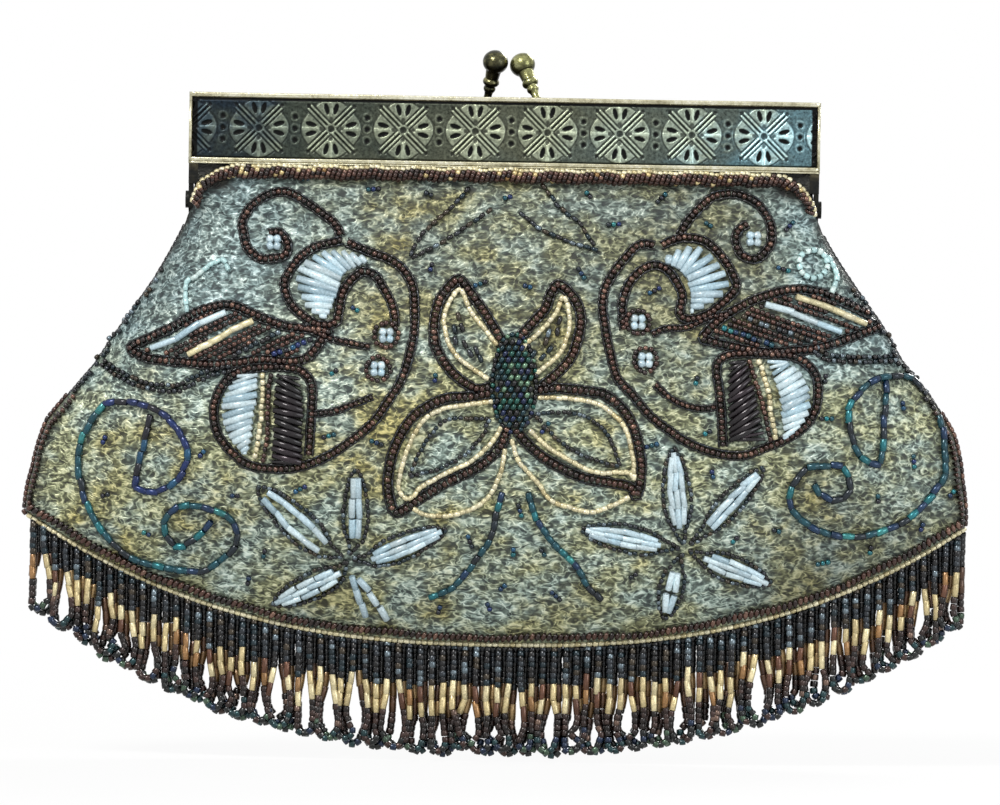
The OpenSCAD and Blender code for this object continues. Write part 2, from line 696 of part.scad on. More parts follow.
module butterfly_wings() {
  color(bead_dark) {
    strand([[-4, 32], [-8, 25], [-12, 18], [-17, 23], [-18, 32], [-13, 40], [-6, 42]], row_w);
    strand([[10, 32], [13, 25], [17, 18], [22, 24], [21, 34], [17, 40], [12, 42]], row_w);
    strand([
      [-5, 47], [-14, 47], [-21, 53], [-25, 61], [-24, 70], [-17, 69], [-8, 64], [-2, 61]
    ], row_w);
    strand([[12, 47], [21, 45], [29, 50], [32, 59], [31, 68], [23, 65], [14, 62], [8, 61]], row_w);
  }
}

module butterfly_gold() {
  color(bead_gold) {
    strand([[-8, 31], [-12, 24], [-14, 30], [-12, 36], [-8, 38]], line_w, 2);
    strand([[14, 31], [16, 25], [19, 26], [18, 33], [13, 38]], line_w, 2);
    strand([[-8, 51], [-15, 51], [-20, 57], [-21, 64], [-16, 63], [-9, 59], [-6, 55]], line_w, 2);
    strand([[15, 51], [22, 49], [27, 55], [28, 62], [22, 61], [14, 57]], line_w, 2);
    strand([[-1, 64], [-4, 70], [-10, 74], [-16, 74]], line_w, 2);
    strand([[7, 64], [11, 70], [18, 72], [25, 72]], line_w, 2);
  }
}

module stems() {
  color(bead_teal) {
    strand([[-10, 3], [-20, 5], [-25, 11]], line_w, 2);
    strand([[-4, 3], [-14, 8], [-21, 14]], line_w, 2);
    strand([[12, 3], [20, 4], [26, 8]], line_w, 2);
    strand([[6, 3], [15, 8], [23, 13]], line_w, 2);
    strand([[2, 68], [-1, 79], [-8, 88], [-13, 91]], line_w, 2);
    strand([[6, 69], [10, 79], [16, 86], [22, 90]], line_w, 2);
  }
}

frame_half(false);  // front_frame
frame_half(true);  // back_frame
filigree(false);  // front_filigree
filigree(true);  // back_filigree
clamp_strip(false);  // front_clamp_strip
clamp_strip(true);  // back_clamp_strip
lock_post(false);  // front_lock_post
lock_post(true);  // back_lock_post
hinge_pin(-1);  // left_hinge_pin
hinge_pin(1);  // right_hinge_pin
yoke(false);  // front_yoke
yoke(true);  // back_yoke
neck_cloth(false);  // front_neck_cloth
neck_cloth(true);  // back_neck_cloth
top_rope(false);  // front_top_rope
top_rope(true);  // back_top_rope
panel(false);  // front_panel
panel(true);  // back_panel
lining(false);  // front_lining
lining(true);  // back_lining
seam_rope(false);  // front_seam_rope
seam_rope(true);  // back_seam_rope
edge_line();
left_scroll();
right_scroll();
left_wing();
right_wing();
wing_rows();
crescent_beads();
left_moon();
right_moon();
moon_lines();
left_vine();
right_vine();
left_star();
right_star();
star_beads();
butterfly_body();
butterfly_wings();
butterfly_gold();
stems();
fringe(1);  // fringe_1
fringe(2);  // fringe_2
fringe(3);  // fringe_3
fringe(4);  // fringe_4
fringe(5);  // fringe_5
fringe(6);  // fringe_6
fringe(7);  // fringe_7
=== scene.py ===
import math

import bpy
import numpy as np
from mathutils import Matrix, Vector


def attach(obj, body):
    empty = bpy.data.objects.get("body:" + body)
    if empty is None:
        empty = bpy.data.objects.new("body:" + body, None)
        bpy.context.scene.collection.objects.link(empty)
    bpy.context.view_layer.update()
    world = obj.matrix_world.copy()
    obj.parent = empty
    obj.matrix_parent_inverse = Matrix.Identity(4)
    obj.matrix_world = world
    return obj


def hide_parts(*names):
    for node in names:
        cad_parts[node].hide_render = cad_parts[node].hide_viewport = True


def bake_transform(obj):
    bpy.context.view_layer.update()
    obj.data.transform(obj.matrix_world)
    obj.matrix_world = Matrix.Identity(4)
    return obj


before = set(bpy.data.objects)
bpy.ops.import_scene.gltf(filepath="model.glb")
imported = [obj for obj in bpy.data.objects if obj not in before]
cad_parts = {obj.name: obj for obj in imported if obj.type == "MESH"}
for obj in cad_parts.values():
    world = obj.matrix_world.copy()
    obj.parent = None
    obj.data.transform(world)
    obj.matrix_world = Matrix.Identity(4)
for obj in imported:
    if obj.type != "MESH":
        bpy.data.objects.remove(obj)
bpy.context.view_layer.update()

# All sizes are in millimetres, in the frame of the part: front towards -Y, Z up
MM = 0.001
NEAR_ZERO = 1e-9
FRAME_W = 160
BAND_H = 18
HALF_DEPTH = 6.5
WALL_IN = 5
SHEET = 0.7
TOP_RAIL_H = 1
LOW_RAIL_H = 1.5
PLATE_CLEAR = 0.1
ROSETTE_PITCH = 18.3
ARM_DROP = 9
BALL_D = 6.3
BALL_GAP = 0.4
LOCK_X = 0.75
BALL_CROSS = 0.4
FRONT_POST = (3.9, 8.9)
BACK_POST = (2, 9.5)
BAG_W = 242
BAG_DROP = 138.5
CORNER_DROP = 107
BODY_GAP = 4.2
NECK_HALF = 7.3
BELLY_HALF = 15
BELLY_AT = 0.55
SEAM_HALF = 1.6
TOP_HALF_W = 80.5
FLARE_POWER = 1.2
SAG_POWER = 1.5
HEM_POWER = 2.5
EDGE_LINE_D = 1.4
TRIM_CLEAR = 0.15
HEADER_DROP = 1
FRINGE_INSET = 2
FRINGE_DROP = 29.1
FRINGE_END_DROP = 23
SECTIONS = 7

Z_TOP = BAG_DROP + FRINGE_DROP
Z_BAND = Z_TOP - BAND_H
Z_HINGE = Z_BAND - ARM_DROP
Z_BODY = Z_HINGE - BODY_GAP
Z_CORNER = Z_TOP - CORNER_DROP
HEM_SAG = BAG_DROP - CORNER_DROP

# The view: its width at the purse, the height of its middle, its tilt, and the camera's distance
VIEW_W = 254.4
VIEW_Z = 90.25
VIEW_ROLL = 1.0
CAMERA_AWAY = 1800
SENSOR_W = 36

camera = bpy.data.cameras.new("camera")
camera.sensor_fit = "HORIZONTAL"
camera.sensor_width = SENSOR_W
camera.lens = SENSOR_W * CAMERA_AWAY / VIEW_W
camera.clip_end = 20
viewer = bpy.data.objects.new("camera", camera)
bpy.context.scene.collection.objects.link(viewer)
viewer.matrix_world = (
    Matrix.Translation((0, -CAMERA_AWAY * MM, VIEW_Z * MM))
    @ Matrix.Rotation(math.radians(90), 4, "X")
    @ Matrix.Rotation(math.radians(VIEW_ROLL), 4, "Z")
)
bpy.context.scene.camera = viewer
bpy.context.scene.view_settings.view_transform = "Standard"


def half_name(side):
    """The front half is side -1, the back half is side 1."""
    return "front" if side < 0 else "back"


def unit(rows):
    """Directions of length 1, one to a row."""
    return rows / np.maximum(np.linalg.norm(rows, axis=-1, keepdims=True), NEAR_ZERO)


# The cloth's outer face, as a distance from the middle plane

def width_at(v):
    """Half the width of the cloth, v of the way from the top of the body to the hem."""
    return TOP_HALF_W + (BAG_W / 2 - TOP_HALF_W) * np.sin(np.pi / 2 * v ** FLARE_POWER)


def sag_at(v):
    """How much lower the middle hangs than the sides."""
    return HEM_SAG * v ** SAG_POWER


def smooth(t):
    t = np.clip(t, 0, 1)
    return t * t * (3 - 2 * t)


# The left side of the cloth is pulled in more than the right: (height, how far)
LEFT_PULL = [(60, 0.5), (72, 0.8), (84, 0), (98, 3), (120, 3.2), (134, 1), (140, 0)]
RIGHT_PULL = [(60, 1.6), (72, 1.2), (84, -0.4), (94, 0), (103, 1.4), (112, 0), (140, 0)]


def pull(x, z):
    """How far the cloth's own slackness moves a point inward, for a point given on the even shape."""
    left = np.interp(z, *zip(*LEFT_PULL))
    right = -np.interp(z, *zip(*RIGHT_PULL))
    return np.where(x < 0, left, right) * np.clip(np.abs(x) / 105, 0, 1.2) ** 3


def height_of(u, v):
    """z of the cloth at u, from -1 to 1 across it, and v."""
    side = Z_BODY - v * (Z_BODY - Z_CORNER)
    return side - sag_at(v) * (1 - np.abs(u) ** HEM_POWER)


def within(flat, margin):
    """Which (x, z) points lie at least this far in from the sides of the cloth."""
    x = flat[:, 0] - pull(flat[:, 0], flat[:, 1])
    return np.abs(x) < width_at(share_down(x, flat[:, 1])) - margin


def share_down(x, z):
    """v of the cloth at x and z, from 0 at the top of the body to 1 at the hem."""
    span = Z_BODY - Z_CORNER
    v = np.clip((Z_BODY - z) / span, 0, 1)
    for _ in range(30):
        u = np.clip(np.abs(x) / width_at(v), 0, 1)
        lifted = sag_at(v) * (1 - u ** HEM_POWER)
        v = 0.5 * v + 0.5 * np.clip((Z_BODY - z - lifted) / span, 0, 1)
    return v


WAVE_COUNT = 14
wave_rng = np.random.default_rng(7)
# How close its crests are, which way they run, and where they start
WAVES = [
    (wave_rng.uniform(0.04, 0.2), wave_rng.uniform(0, np.pi), wave_rng.uniform(0, 6.28))
    for _ in range(WAVE_COUNT)
]


def relief(x, z):
    """Gentle hollows and swells of cloth that hangs over a soft lining."""
    total = 0
    for rate, way, start in WAVES:
        total = total + np.sin(rate * (np.cos(way) * x + np.sin(way) * z) + start) / (1 + 12 * rate)
    return 0.42 * total


# The cloth's neck in the frame: half depths in the middle and at the sides, and half widths
NECK_Z = [Z_BODY, 139, 142, 146, Z_BAND, 151, 165]
NECK_MID = [NECK_HALF, 7, 6.5, 5.3, 4.9, 4.6, 4.6]
NECK_EDGE = [SEAM_HALF, 2.9, 4.2, 4.9, 4.85, 4.6, 4.6]
NECK_HALF_Z = [Z_BODY, 138.6, 143.4, 144.6, 165]
NECK_HALF_W = [TOP_HALF_W, 79.4, 78.3, 77.6, 77.6]


def body_depth(u, v):
    belly = np.sin(np.pi / 2 * np.minimum(v / BELLY_AT, 1))
    full = (NECK_HALF + (BELLY_HALF - NECK_HALF) * belly - SEAM_HALF) * (1 - v ** 5)
    inner = 1 - np.clip(np.abs(u), 0, 1) ** (4 + 8 * (1 - v) ** 2)
    from_edge = np.minimum((1 - np.abs(u)) * width_at(v), (1 - v) * (Z_BODY - Z_CORNER))
    round_off = 1 - np.sqrt(np.clip(1 - (1 - np.clip(from_edge / 2.5, 0, 1)) ** 2, 0, 1))
    return full * inner + SEAM_HALF - 1.1 * round_off * smooth(v / 0.1)


def depth(x, z):
    """Distance of the cloth's outer face from the middle plane at x and z."""
    x = np.asarray(x, float)
    z = np.asarray(z, float)
    x = x - pull(x, z)
    v = share_down(x, z)
    u = np.clip(x / width_at(v), -1, 1)
    body = body_depth(u, v)
    half = np.interp(z, NECK_HALF_Z, NECK_HALF_W)
    mid = np.interp(z, NECK_Z, NECK_MID)
    edge = np.interp(z, NECK_Z, NECK_EDGE)
    neck = edge + (mid - edge) * (1 - np.clip(np.abs(x) / half, 0, 1) ** 12)
    inside = np.clip(1 - np.abs(u), 0, 1) * 8 * np.clip(1 - v, 0, 1) * 12
    calm = smooth(inside) * smooth((Z_BAND - 4 - z) / 14)
    return np.where(z > Z_BODY, neck, body) + relief(x, z) * calm


def normal_at(x, z, step=0.4):
    across = (depth(x + step, z) - depth(x - step, z)) / (2 * step)
    up = (depth(x, z + step) - depth(x, z - step)) / (2 * step)
    return unit(np.stack([-across, -np.ones_like(across), -up], -1))


# Mesh helpers

def add_piece(name, mesh):
    piece = bpy.data.objects.new(name, mesh)
    bpy.context.scene.collection.objects.link(piece)
    return piece


def make_mesh(name, points, faces):
    mesh = bpy.data.meshes.new(name)
    mesh.from_pydata((np.asarray(points) * MM).tolist(), [], faces)
    mesh.validate()
    mesh.update()
    mesh.shade_smooth()
    return add_piece(name, mesh)


def fast_mesh(name, points, quads):
    """A mesh from arrays, all faces with four corners."""
    mesh = bpy.data.meshes.new(name)
    points = np.asarray(points, np.float32) * MM
    quads = np.asarray(quads, np.int32)
    mesh.vertices.add(len(points))
    mesh.vertices.foreach_set("co", points.ravel())
    mesh.loops.add(quads.size)
    mesh.loops.foreach_set("vertex_index", quads.ravel())
    mesh.polygons.add(len(quads))
    mesh.polygons.foreach_set("loop_start", np.arange(0, quads.size, 4, dtype=np.int32))
    mesh.update(calc_edges=True)
    mesh.validate()
    mesh.shade_smooth()
    return add_piece(name, mesh)


def grid_quads(rows, cols, start=0, flip=False):
    """Faces of a grid of points whose first has the index start."""
    i, j = np.meshgrid(np.arange(rows - 1), np.arange(cols - 1), indexing="ij")
    a = (start + i * cols + j).ravel()
    quad = [a, a + 1, a + cols + 1, a + cols]
    if flip:
        quad = quad[::-1]
    return np.stack(quad, 1)


def rim_quads(rows, cols, other):
    """Joins the borders of two grids of one size; the second starts at index other."""
    index = np.arange(rows * cols).reshape(rows, cols)
    b = np.concatenate([index[0], index[1:, -1], index[-1, -2::-1], index[-2:0:-1, 0]])
    c = np.roll(b, -1)
    return np.stack([c, b, b + other, c + other], 1)


def closed_sheet(name, outer, inner):
    """A thin closed piece from two grids of points, (rows, cols, 3)."""
    rows, cols = outer.shape[:2]
    count = rows * cols
    quads = np.concatenate([
        grid_quads(rows, cols), grid_quads(rows, cols, count, True), rim_quads(rows, cols, count)
    ])
    points = np.concatenate([outer.reshape(-1, 3), inner.reshape(-1, 3)])
    return fast_mesh(name, points, quads)


def to_linear(rgb):
    c = np.asarray(rgb, float) / 255
    return np.where(c <= 0.04045, c / 12.92, ((c + 0.055) / 1.055) ** 2.4)


def colour(*rgb):
    return (*to_linear(rgb).tolist(), 1)


def dense(points, closed=False, step=0.25):
    """A smooth line through points of any dimension, as close points."""
    p = np.asarray(points, float)
    if closed:
        p = np.vstack([p[-1], p, p[0], p[1]])
    else:
        p = np.vstack([2 * p[0] - p[1], p, 2 * p[-1] - p[-2]])
    out = []
    for a, b, c, d in zip(p, p[1:], p[2:], p[3:]):
        n = max(2, int(np.linalg.norm(c - b) / step))
        t = (np.arange(n) / n)[:, None]
        out.append(0.5 * (2 * b + (c - a) * t + (2 * a - 5 * b + 4 * c - d) * t ** 2
                          + (3 * b - a - 3 * c + d) * t ** 3))
    out.append(p[-2:-1])
    return np.concatenate(out)


def lengths_along(line):
    gaps = np.linalg.norm(np.diff(line, axis=0), axis=1)
    return np.concatenate([[0], np.cumsum(gaps)])


def at_lengths(line, along, at):
    return np.stack([np.interp(at, along, line[:, k]) for k in range(line.shape[1])], 1)


def spaced(line, pitch):
    """Points at equal steps along a line, the direction at each, and its share of the way."""
    along = lengths_along(line)
    count = max(1, int(round(along[-1] / pitch)))
    at = (np.arange(count) + 0.5) * along[-1] / count
    way = at_lengths(line, along, at + 0.3) - at_lengths(line, along, at - 0.3)
    return at_lengths(line, along, at), unit(way), at / along[-1]


def resample(line, count):
    along = lengths_along(line)
    return at_lengths(line, along, np.linspace(0, along[-1], count))


def left_of(way):
    """Directions turned a quarter to the left."""
    return np.stack([-way[:, 1], way[:, 0]], 1)


def upright(way):
    """(x, z) directions as (x, y, z) ones."""
    return np.stack([way[:, 0], np.zeros(len(way)), way[:, 1]], 1)


# Lines of the embroidery as (across, down) from the middle of the frame's top

LEFT_CURL = [(-41, 36), (-43, 32.5), (-48.5, 28.5), (-53.5, 25.5), (-57, 25), (-61, 26.5),
    (-64.5, 29.5), (-66, 33), (-65.5, 36.5), (-64.5, 39.5), (-61.5, 42), (-58.5, 42), (-55, 41),
    (-54.5, 38), (-56.5, 35.5), (-59.5, 35.5)]
LEFT_CRESCENT_LINE = [(-40.5, 37), (-47.5, 39), (-51.5, 42), (-54.5, 46.5), (-55, 49),
    (-53.5, 53), (-50, 56.5), (-46, 58.5), (-42, 58), (-41, 55), (-40.5, 51.5), (-39.5, 49),
    (-37.5, 46.5), (-35, 45), (-32, 46), (-30, 49), (-28, 52.5), (-27, 56), (-27, 58.5)]
LEFT_CRESCENT_OUTER = [(-36, 41), (-40.5, 40), (-46, 40.5), (-50, 42.5), (-52, 46), (-51, 50.5),
    (-49, 54.5), (-46, 56.5)]
LEFT_CRESCENT_INNER = [(-34.5, 43), (-36.5, 44), (-39, 45), (-40.5, 47), (-41, 49.5),
    (-42, 52.5), (-43, 55), (-44, 56.5)]
LEFT_LINK = [(-51.5, 59), (-47, 60.5), (-43, 62), (-38.5, 63), (-33, 64)]
LEFT_STEM = [(-39.5, 37.5), (-33.5, 40), (-28, 42), (-24.5, 45), (-22.5, 49), (-22, 54.5),
    (-22, 60), (-23, 65.5), (-25, 72), (-28.5, 78), (-32.5, 83.5), (-38.5, 88.5), (-44, 92),
    (-50.5, 94.5), (-58, 95), (-63.5, 94), (-67.5, 91), (-70.5, 87.5), (-72, 83.5), (-72, 79),
    (-70.5, 75), (-68, 72), (-64, 70), (-59, 69.5), (-53.5, 69.5), (-50, 70.5), (-47.5, 74),
    (-47.5, 81), (-48, 91.5)]
LEFT_SHORT = [(-47, 81), (-42.5, 80.5), (-37, 78.5), (-32, 76.5)]
LEFT_MOON_OUTER = [(-66.5, 72), (-69, 75.5), (-70, 79), (-70, 83), (-68, 87.5), (-65, 91)]
LEFT_MOON_INNER = [(-61, 71.5), (-61, 75), (-61.5, 79), (-62, 83), (-62.5, 87), (-63.5, 91)]
LEFT_MOON_GOLD = [(-60, 71), (-60, 78), (-60.5, 85.5), (-61.5, 92.5)]
LEFT_MOON_BROWN = [(-58, 71), (-58.5, 77.5), (-58.5, 86), (-59.5, 93.5)]
LEFT_SATIN_A = [(-56.5, 71.5), (-57, 77.5), (-57, 85.5), (-57.5, 93)]
LEFT_SATIN_B = [(-50.5, 72.5), (-49.5, 78.5), (-49.5, 85.5), (-49.5, 93.5)]
LEFT_WING_LINE = [(-44, 60), (-51.5, 59.5), (-56.5, 58.5), (-62, 56.5), (-66.5, 54.5),
    (-69.5, 54), (-72.5, 54.5), (-77, 56), (-82.5, 59.5), (-87.5, 62), (-93.5, 65), (-91, 67),
    (-87.5, 68), (-81, 68.5), (-74, 69), (-67, 68.5), (-60.5, 67.5), (-54, 68), (-49, 67),
    (-46, 63.5), (-44.5, 61)]
LEFT_WING_A = [(-88, 65.5), (-82, 62.5), (-76, 59), (-70, 56)]
LEFT_WING_C = [(-78.5, 66.5), (-73, 63.5), (-68, 60.5), (-63, 58)]
LEFT_WING_E = [(-68, 67), (-64, 65), (-59.5, 62.5), (-55.5, 60.5)]
LEFT_WING_G = [(-58, 66.5), (-54, 65), (-50.5, 63.5), (-47.5, 62)]
LEFT_GARLAND = [(-101, 69), (-97, 71.5), (-91.5, 74), (-86.5, 75), (-81, 75), (-76.5, 72.5),
    (-72.5, 71), (-68, 70)]
LEFT_SQUIGGLE = [(-79.5, 56), (-80, 52), (-79.5, 48.5), (-77, 46.5), (-74, 44), (-71, 42.5),
    (-69, 45)]
LEFT_PETAL = [(-100, 79.5), (-95.5, 79), (-90.5, 79.5), (-86, 81), (-83, 83.5), (-80, 87.5),
    (-78.5, 91.5), (-79.5, 95), (-81.5, 98.5), (-85.5, 101), (-88.5, 101.5), (-92, 100.5)]
LEFT_PETAL_BAR = [(-88, 82), (-89.5, 88), (-90.5, 93), (-91.5, 98), (-92, 100.5)]
LEFT_VINE = [(-100, 79.5), (-103, 83.5), (-105.5, 88), (-106.5, 93), (-106, 98.5), (-104.5, 104),
    (-101.5, 110), (-97, 115), (-92, 118.5), (-87, 120), (-80.5, 121), (-74.5, 121),
    (-70, 118.5), (-66.5, 115), (-66, 110.5), (-68.5, 107), (-72.5, 105.5), (-77.5, 104.5),
    (-81.5, 105.5), (-84, 108.5), (-84, 112), (-81, 115), (-77.5, 113.5), (-74.5, 111),
    (-72.5, 108.5)]
RIGHT_CURL = [(44.5, 36), (45, 34), (46.5, 31), (49.5, 27.5), (53, 24.5), (57.5, 23.5),
    (62, 24.5), (65, 26.5), (67.5, 30.5), (68, 34.5), (67, 37.5), (64, 40), (60.5, 39), (59, 36),
    (59.5, 33), (62, 31)]
RIGHT_CRESCENT_LINE = [(40, 37), (45, 35), (50.5, 35.5), (54.5, 38.5), (58, 43.5), (59, 47.5),
    (55.5, 51.5), (51.5, 54.5), (47, 55.5), (45, 54), (45.5, 50), (44.5, 47), (42, 43.5),
    (38.5, 42), (35, 43.5), (32, 47), (30.5, 51.5), (30.5, 55), (31, 58.5)]
RIGHT_CRESCENT_OUTER = [(42, 39.5), (46, 37.5), (50, 37.5), (53.5, 40), (56.5, 44), (57, 47.5),
    (52.5, 51.5), (48.5, 53.5)]
RIGHT_CRESCENT_INNER = [(42, 42), (44.5, 43.5), (46.5, 45.5), (47, 47.5), (47.5, 49), (47.5, 51),
    (47.5, 52), (47.5, 53.5)]
RIGHT_LINK = [(38, 59.5), (41.5, 58), (47, 57.5), (52.5, 55), (57.5, 54)]
RIGHT_WING_LINE = [(51, 60), (54.5, 56), (58, 53.5), (63.5, 50.5), (69, 48.5), (74.5, 47.5),
    (80, 48), (85.5, 50), (91, 52.5), (97, 55.5), (92, 58), (85.5, 60.5), (79, 62.5), (73.5, 63),
    (68, 63.5), (62.5, 63), (57, 62), (53, 61)]
RIGHT_WING_A = [(74.5, 49.5), (81, 51.5), (87, 54), (92, 56)]
RIGHT_WING_C = [(67, 51.5), (73.5, 53.5), (79.5, 56), (85.5, 58)]
RIGHT_WING_E = [(60.5, 54.5), (66, 56.5), (72.5, 58.5), (78, 60.5)]
RIGHT_WING_G = [(55.5, 57.5), (60, 59), (65, 60.5), (69, 62)]
RIGHT_STEM = [(38.5, 37), (34.5, 37), (30.5, 41), (27, 46), (25.5, 51), (26, 57), (27.5, 64),
    (29.5, 70.5), (33.5, 75), (38, 80), (44, 84.5), (49.5, 87.5), (56.5, 89.5), (62, 89.5),
    (67.5, 87.5), (73, 85), (77.5, 81.5), (80, 76.5), (80, 70.5), (78, 67), (74, 64.5), (68, 64),
    (59.5, 64), (55.5, 65.5), (54.5, 68.5), (55.5, 75), (56.5, 87.5)]
RIGHT_SHORT = [(39, 72), (43, 75.5), (47.5, 77.5), (52, 78), (54.5, 77.5)]
RIGHT_SATIN_A = [(57.5, 66.5), (57.5, 72), (57.5, 78.5), (58, 86)]
RIGHT_SATIN_B = [(62, 66), (64, 72), (65.5, 78), (67, 85)]
RIGHT_MOON_BROWN = [(62.5, 65.5), (65, 72.5), (67, 79.5), (68.5, 86)]
RIGHT_MOON_GOLD = [(65, 65.5), (67.5, 72.5), (68.5, 79.5), (70, 85.5)]
RIGHT_MOON_INNER = [(67, 66), (69, 70.5), (70.5, 75.5), (71, 79.5), (71.5, 82.5), (71.5, 85)]
RIGHT_MOON_OUTER = [(72.5, 66), (76, 69), (78, 73), (78, 77.5), (76, 81.5), (73, 84.5)]
RIGHT_RING_TAIL = [(82, 39), (84.5, 43.5), (83.5, 48.5)]
RIGHT_GARLAND = [(79, 62.5), (82.5, 64.5), (88.5, 65), (94, 65), (100.5, 64.5)]
RIGHT_PETAL = [(98.5, 69), (94, 70.5), (90.5, 73.5), (88, 77.5), (88.5, 82.5), (90, 87.5),
    (93, 90.5), (96, 91), (97, 85.5), (97, 80), (97.5, 74.5), (97.5, 70.5)]
RIGHT_VINE = [(98.5, 69), (103.5, 69.5), (107, 72.5), (110, 75.5), (111.5, 80), (112.5, 83.5),
    (113, 89), (113, 94), (110.5, 98), (105.5, 103.5), (99, 107.5), (91.5, 109.5), (84.5, 109),
    (79, 107), (75, 104), (73.5, 100.5), (74.5, 97), (77.5, 93), (82, 92), (87, 92.5),
    (88.5, 96), (88, 99), (84.5, 100.5), (81, 98.5), (80, 96.5)]
UPPER_LEFT_BAND = [(0, 61.5), (-2.5, 57.5), (-5.5, 53), (-8.5, 49), (-11, 46.5), (-13.5, 48.5),
    (-16, 52.5), (-17, 58), (-16.5, 63.5), (-13.5, 68.5), (-10.5, 71.5), (-6, 74), (-2.5, 73.5)]
UPPER_LEFT_GOLD = [(-1, 63), (-4.5, 58.5), (-8, 54), (-10.5, 49), (-13, 52), (-14.5, 56.5),
    (-13.5, 62), (-11, 66), (-7, 69), (-3, 71.5)]
UPPER_RIGHT_BAND = [(4.5, 61), (8, 57), (11, 53.5), (12.5, 49.5), (14.5, 47.5), (18, 50.5),
    (20, 55), (19.5, 60.5), (17.5, 66), (14, 70), (10.5, 73)]
UPPER_RIGHT_GOLD = [(5.5, 63.5), (9.5, 59.5), (13.5, 55), (15.5, 50.5), (17, 54), (17, 59.5),
    (14.5, 65), (9, 70)]
LOWER_LEFT_BAND = [(-2.5, 75), (-8, 76), (-13.5, 76.5), (-18, 78.5), (-22, 81.5), (-25, 86),
    (-27, 91), (-28, 97.5), (-27.5, 102), (-25.5, 105.5), (-20.5, 102.5), (-14.5, 98.5),
    (-8.5, 95.5), (-3.5, 92.5), (0.5, 88), (2, 83.5)]
LOWER_LEFT_GOLD = [(-1.5, 77), (-8, 78), (-13.5, 79), (-18, 81), (-21.5, 85.5), (-23.5, 90.5),
    (-25, 96), (-25, 100), (-22.5, 102), (-19.5, 99), (-13.5, 95.5), (-7.5, 92.5), (-2.5, 88),
    (0.5, 83.5)]
LOWER_LEFT_INNER = [(-2.5, 81.5), (-8, 81.5), (-13.5, 82), (-17.5, 86), (-21, 92), (-22.5, 96.5)]
LOWER_LEFT_INNER_B = [(-2.5, 81.5), (-4.5, 86), (-8.5, 90.5), (-15.5, 94.5), (-22.5, 96.5)]
LOWER_RIGHT_BAND = [(9.5, 74), (15, 73.5), (21, 74), (26.5, 75), (31, 78.5), (34, 83.5),
    (35.5, 89), (36, 94), (35, 100), (33, 98), (27.5, 97), (21.5, 96), (15.5, 93.5),
    (10.5, 90.5), (6.5, 87), (4, 84)]
LOWER_RIGHT_GOLD = [(9.5, 76), (18, 76), (25, 77.5), (30, 81), (32.5, 85.5), (34, 92), (34, 96),
    (32.5, 94.5), (24.5, 94.5), (18.5, 92), (12.5, 88.5), (7.5, 84)]
LOWER_RIGHT_INNER = [(9, 80), (15.5, 79.5), (21.5, 80.5), (26.5, 84), (29, 88.5), (30.5, 93)]
LOWER_RIGHT_INNER_B = [(9, 80.5), (13, 85), (18.5, 89), (24.5, 91.5), (30.5, 93)]
GOLD_DROP_A = [(1.5, 89), (0.5, 95), (-2, 100.5), (-6, 104), (-12, 106), (-18, 106),
    (-21.5, 104.5)]
GOLD_DROP_B = [(3, 86.5), (5, 92), (9.5, 97), (13, 101.5), (18, 103.5), (23.5, 104.5),
    (28.5, 103), (33, 100.5)]
SPRIG_A = [(-8.5, 23), (-13, 28), (-18.5, 33), (-22, 37.5), (-23.5, 41)]
SPRIG_B = [(-3, 28), (-9.5, 33.5), (-16, 37.5), (-23, 41.5)]
SPRIG_C = [(9.5, 22), (14.5, 28), (19.5, 32), (23, 37.5)]
SPRIG_D = [(4, 29), (9, 33), (15.5, 36), (24, 38.5)]
STEM_A = [(1, 100), (-0.5, 105.5), (-2, 112), (-6.5, 118.5), (-11, 124), (-17, 127)]
STEM_B = [(7.5, 100), (10, 107), (14.5, 113), (19.5, 117.5), (23, 123), (26.5, 126.5)]
CLUSTERS_LEFT = [(-58, 38), (-29, 61), (-31, 69.5)]
CLUSTERS_RIGHT = [(63.5, 35), (34.5, 56.5), (36.5, 66)]
RING_CENTRE = (78.5, 41)
BODY_CENTRE = (3.5, 72.5)
ACCENTS = [(-50.5, 21.5), (-33, 24), (-19, 25), (1, 25.5), (21.5, 24.5), (28, 32), (20, 44.5),
    (-5.5, 47.5), (6.5, 48), (-37, 54.5), (-42, 70.5), (-16.5, 71.5), (-31, 88), (-43, 86.5),
    (-18, 43.5), (11.5, 83.5), (40, 25), (52, 31.5), (72.5, 31.5), (38.5, 48.5), (49.5, 71),
    (52.5, 84), (82, 70), (82.5, 80), (102, 76.5), (38.5, 87.5), (71, 42.5), (-100, 88.5),
    (-99.5, 102.5), (-75, 91.5), (-50, 100), (-66.5, 102), (-63, 123.5), (-89, 112),
    (-59, 116.5), (4, 115), (34.5, 120.5), (-2, 129), (1.5, 124), (15, 126), (11.5, 115),
    (5.5, 104.5), (-7, 112.5), (-14.5, 130), (60, 111), (96, 100), (82.5, 116.5), (94.5, 113),
    (107.5, 107), (105, 90.5), (115, 98.5), (70.5, 108.5), (54, 94.5)]
LEFT_STAR_TIPS = [(-42, 116.5), (-61, 99.5), (-36, 114.5), (-36, 94.5), (-33, 118), (-13, 109.5),
    (-38.5, 120.5), (-57, 129.5)]
RIGHT_STAR_TIPS = [(46, 109.5), (44, 88), (52, 109.5), (67, 92.5), (51.5, 115.5), (69.5, 122),
    (45.5, 117.5), (42.5, 131.5), (42.5, 113), (21, 109)]


# Looks. Each is a tree of nodes over one shader

def put(tree, socket, value):
    """Links an output to a socket, or sets the socket to a plain value."""
    if isinstance(value, bpy.types.NodeSocket):
        tree.links.new(value, socket)
    else:
        socket.default_value = value


def add_node(tree, kind, sockets=(), **settings):
    node = tree.nodes.new("ShaderNode" + kind)
    for key, value in settings.items():
        setattr(node, key, value)
    for key, value in dict(sockets).items():
        put(tree, node.inputs[key], value)
    return node


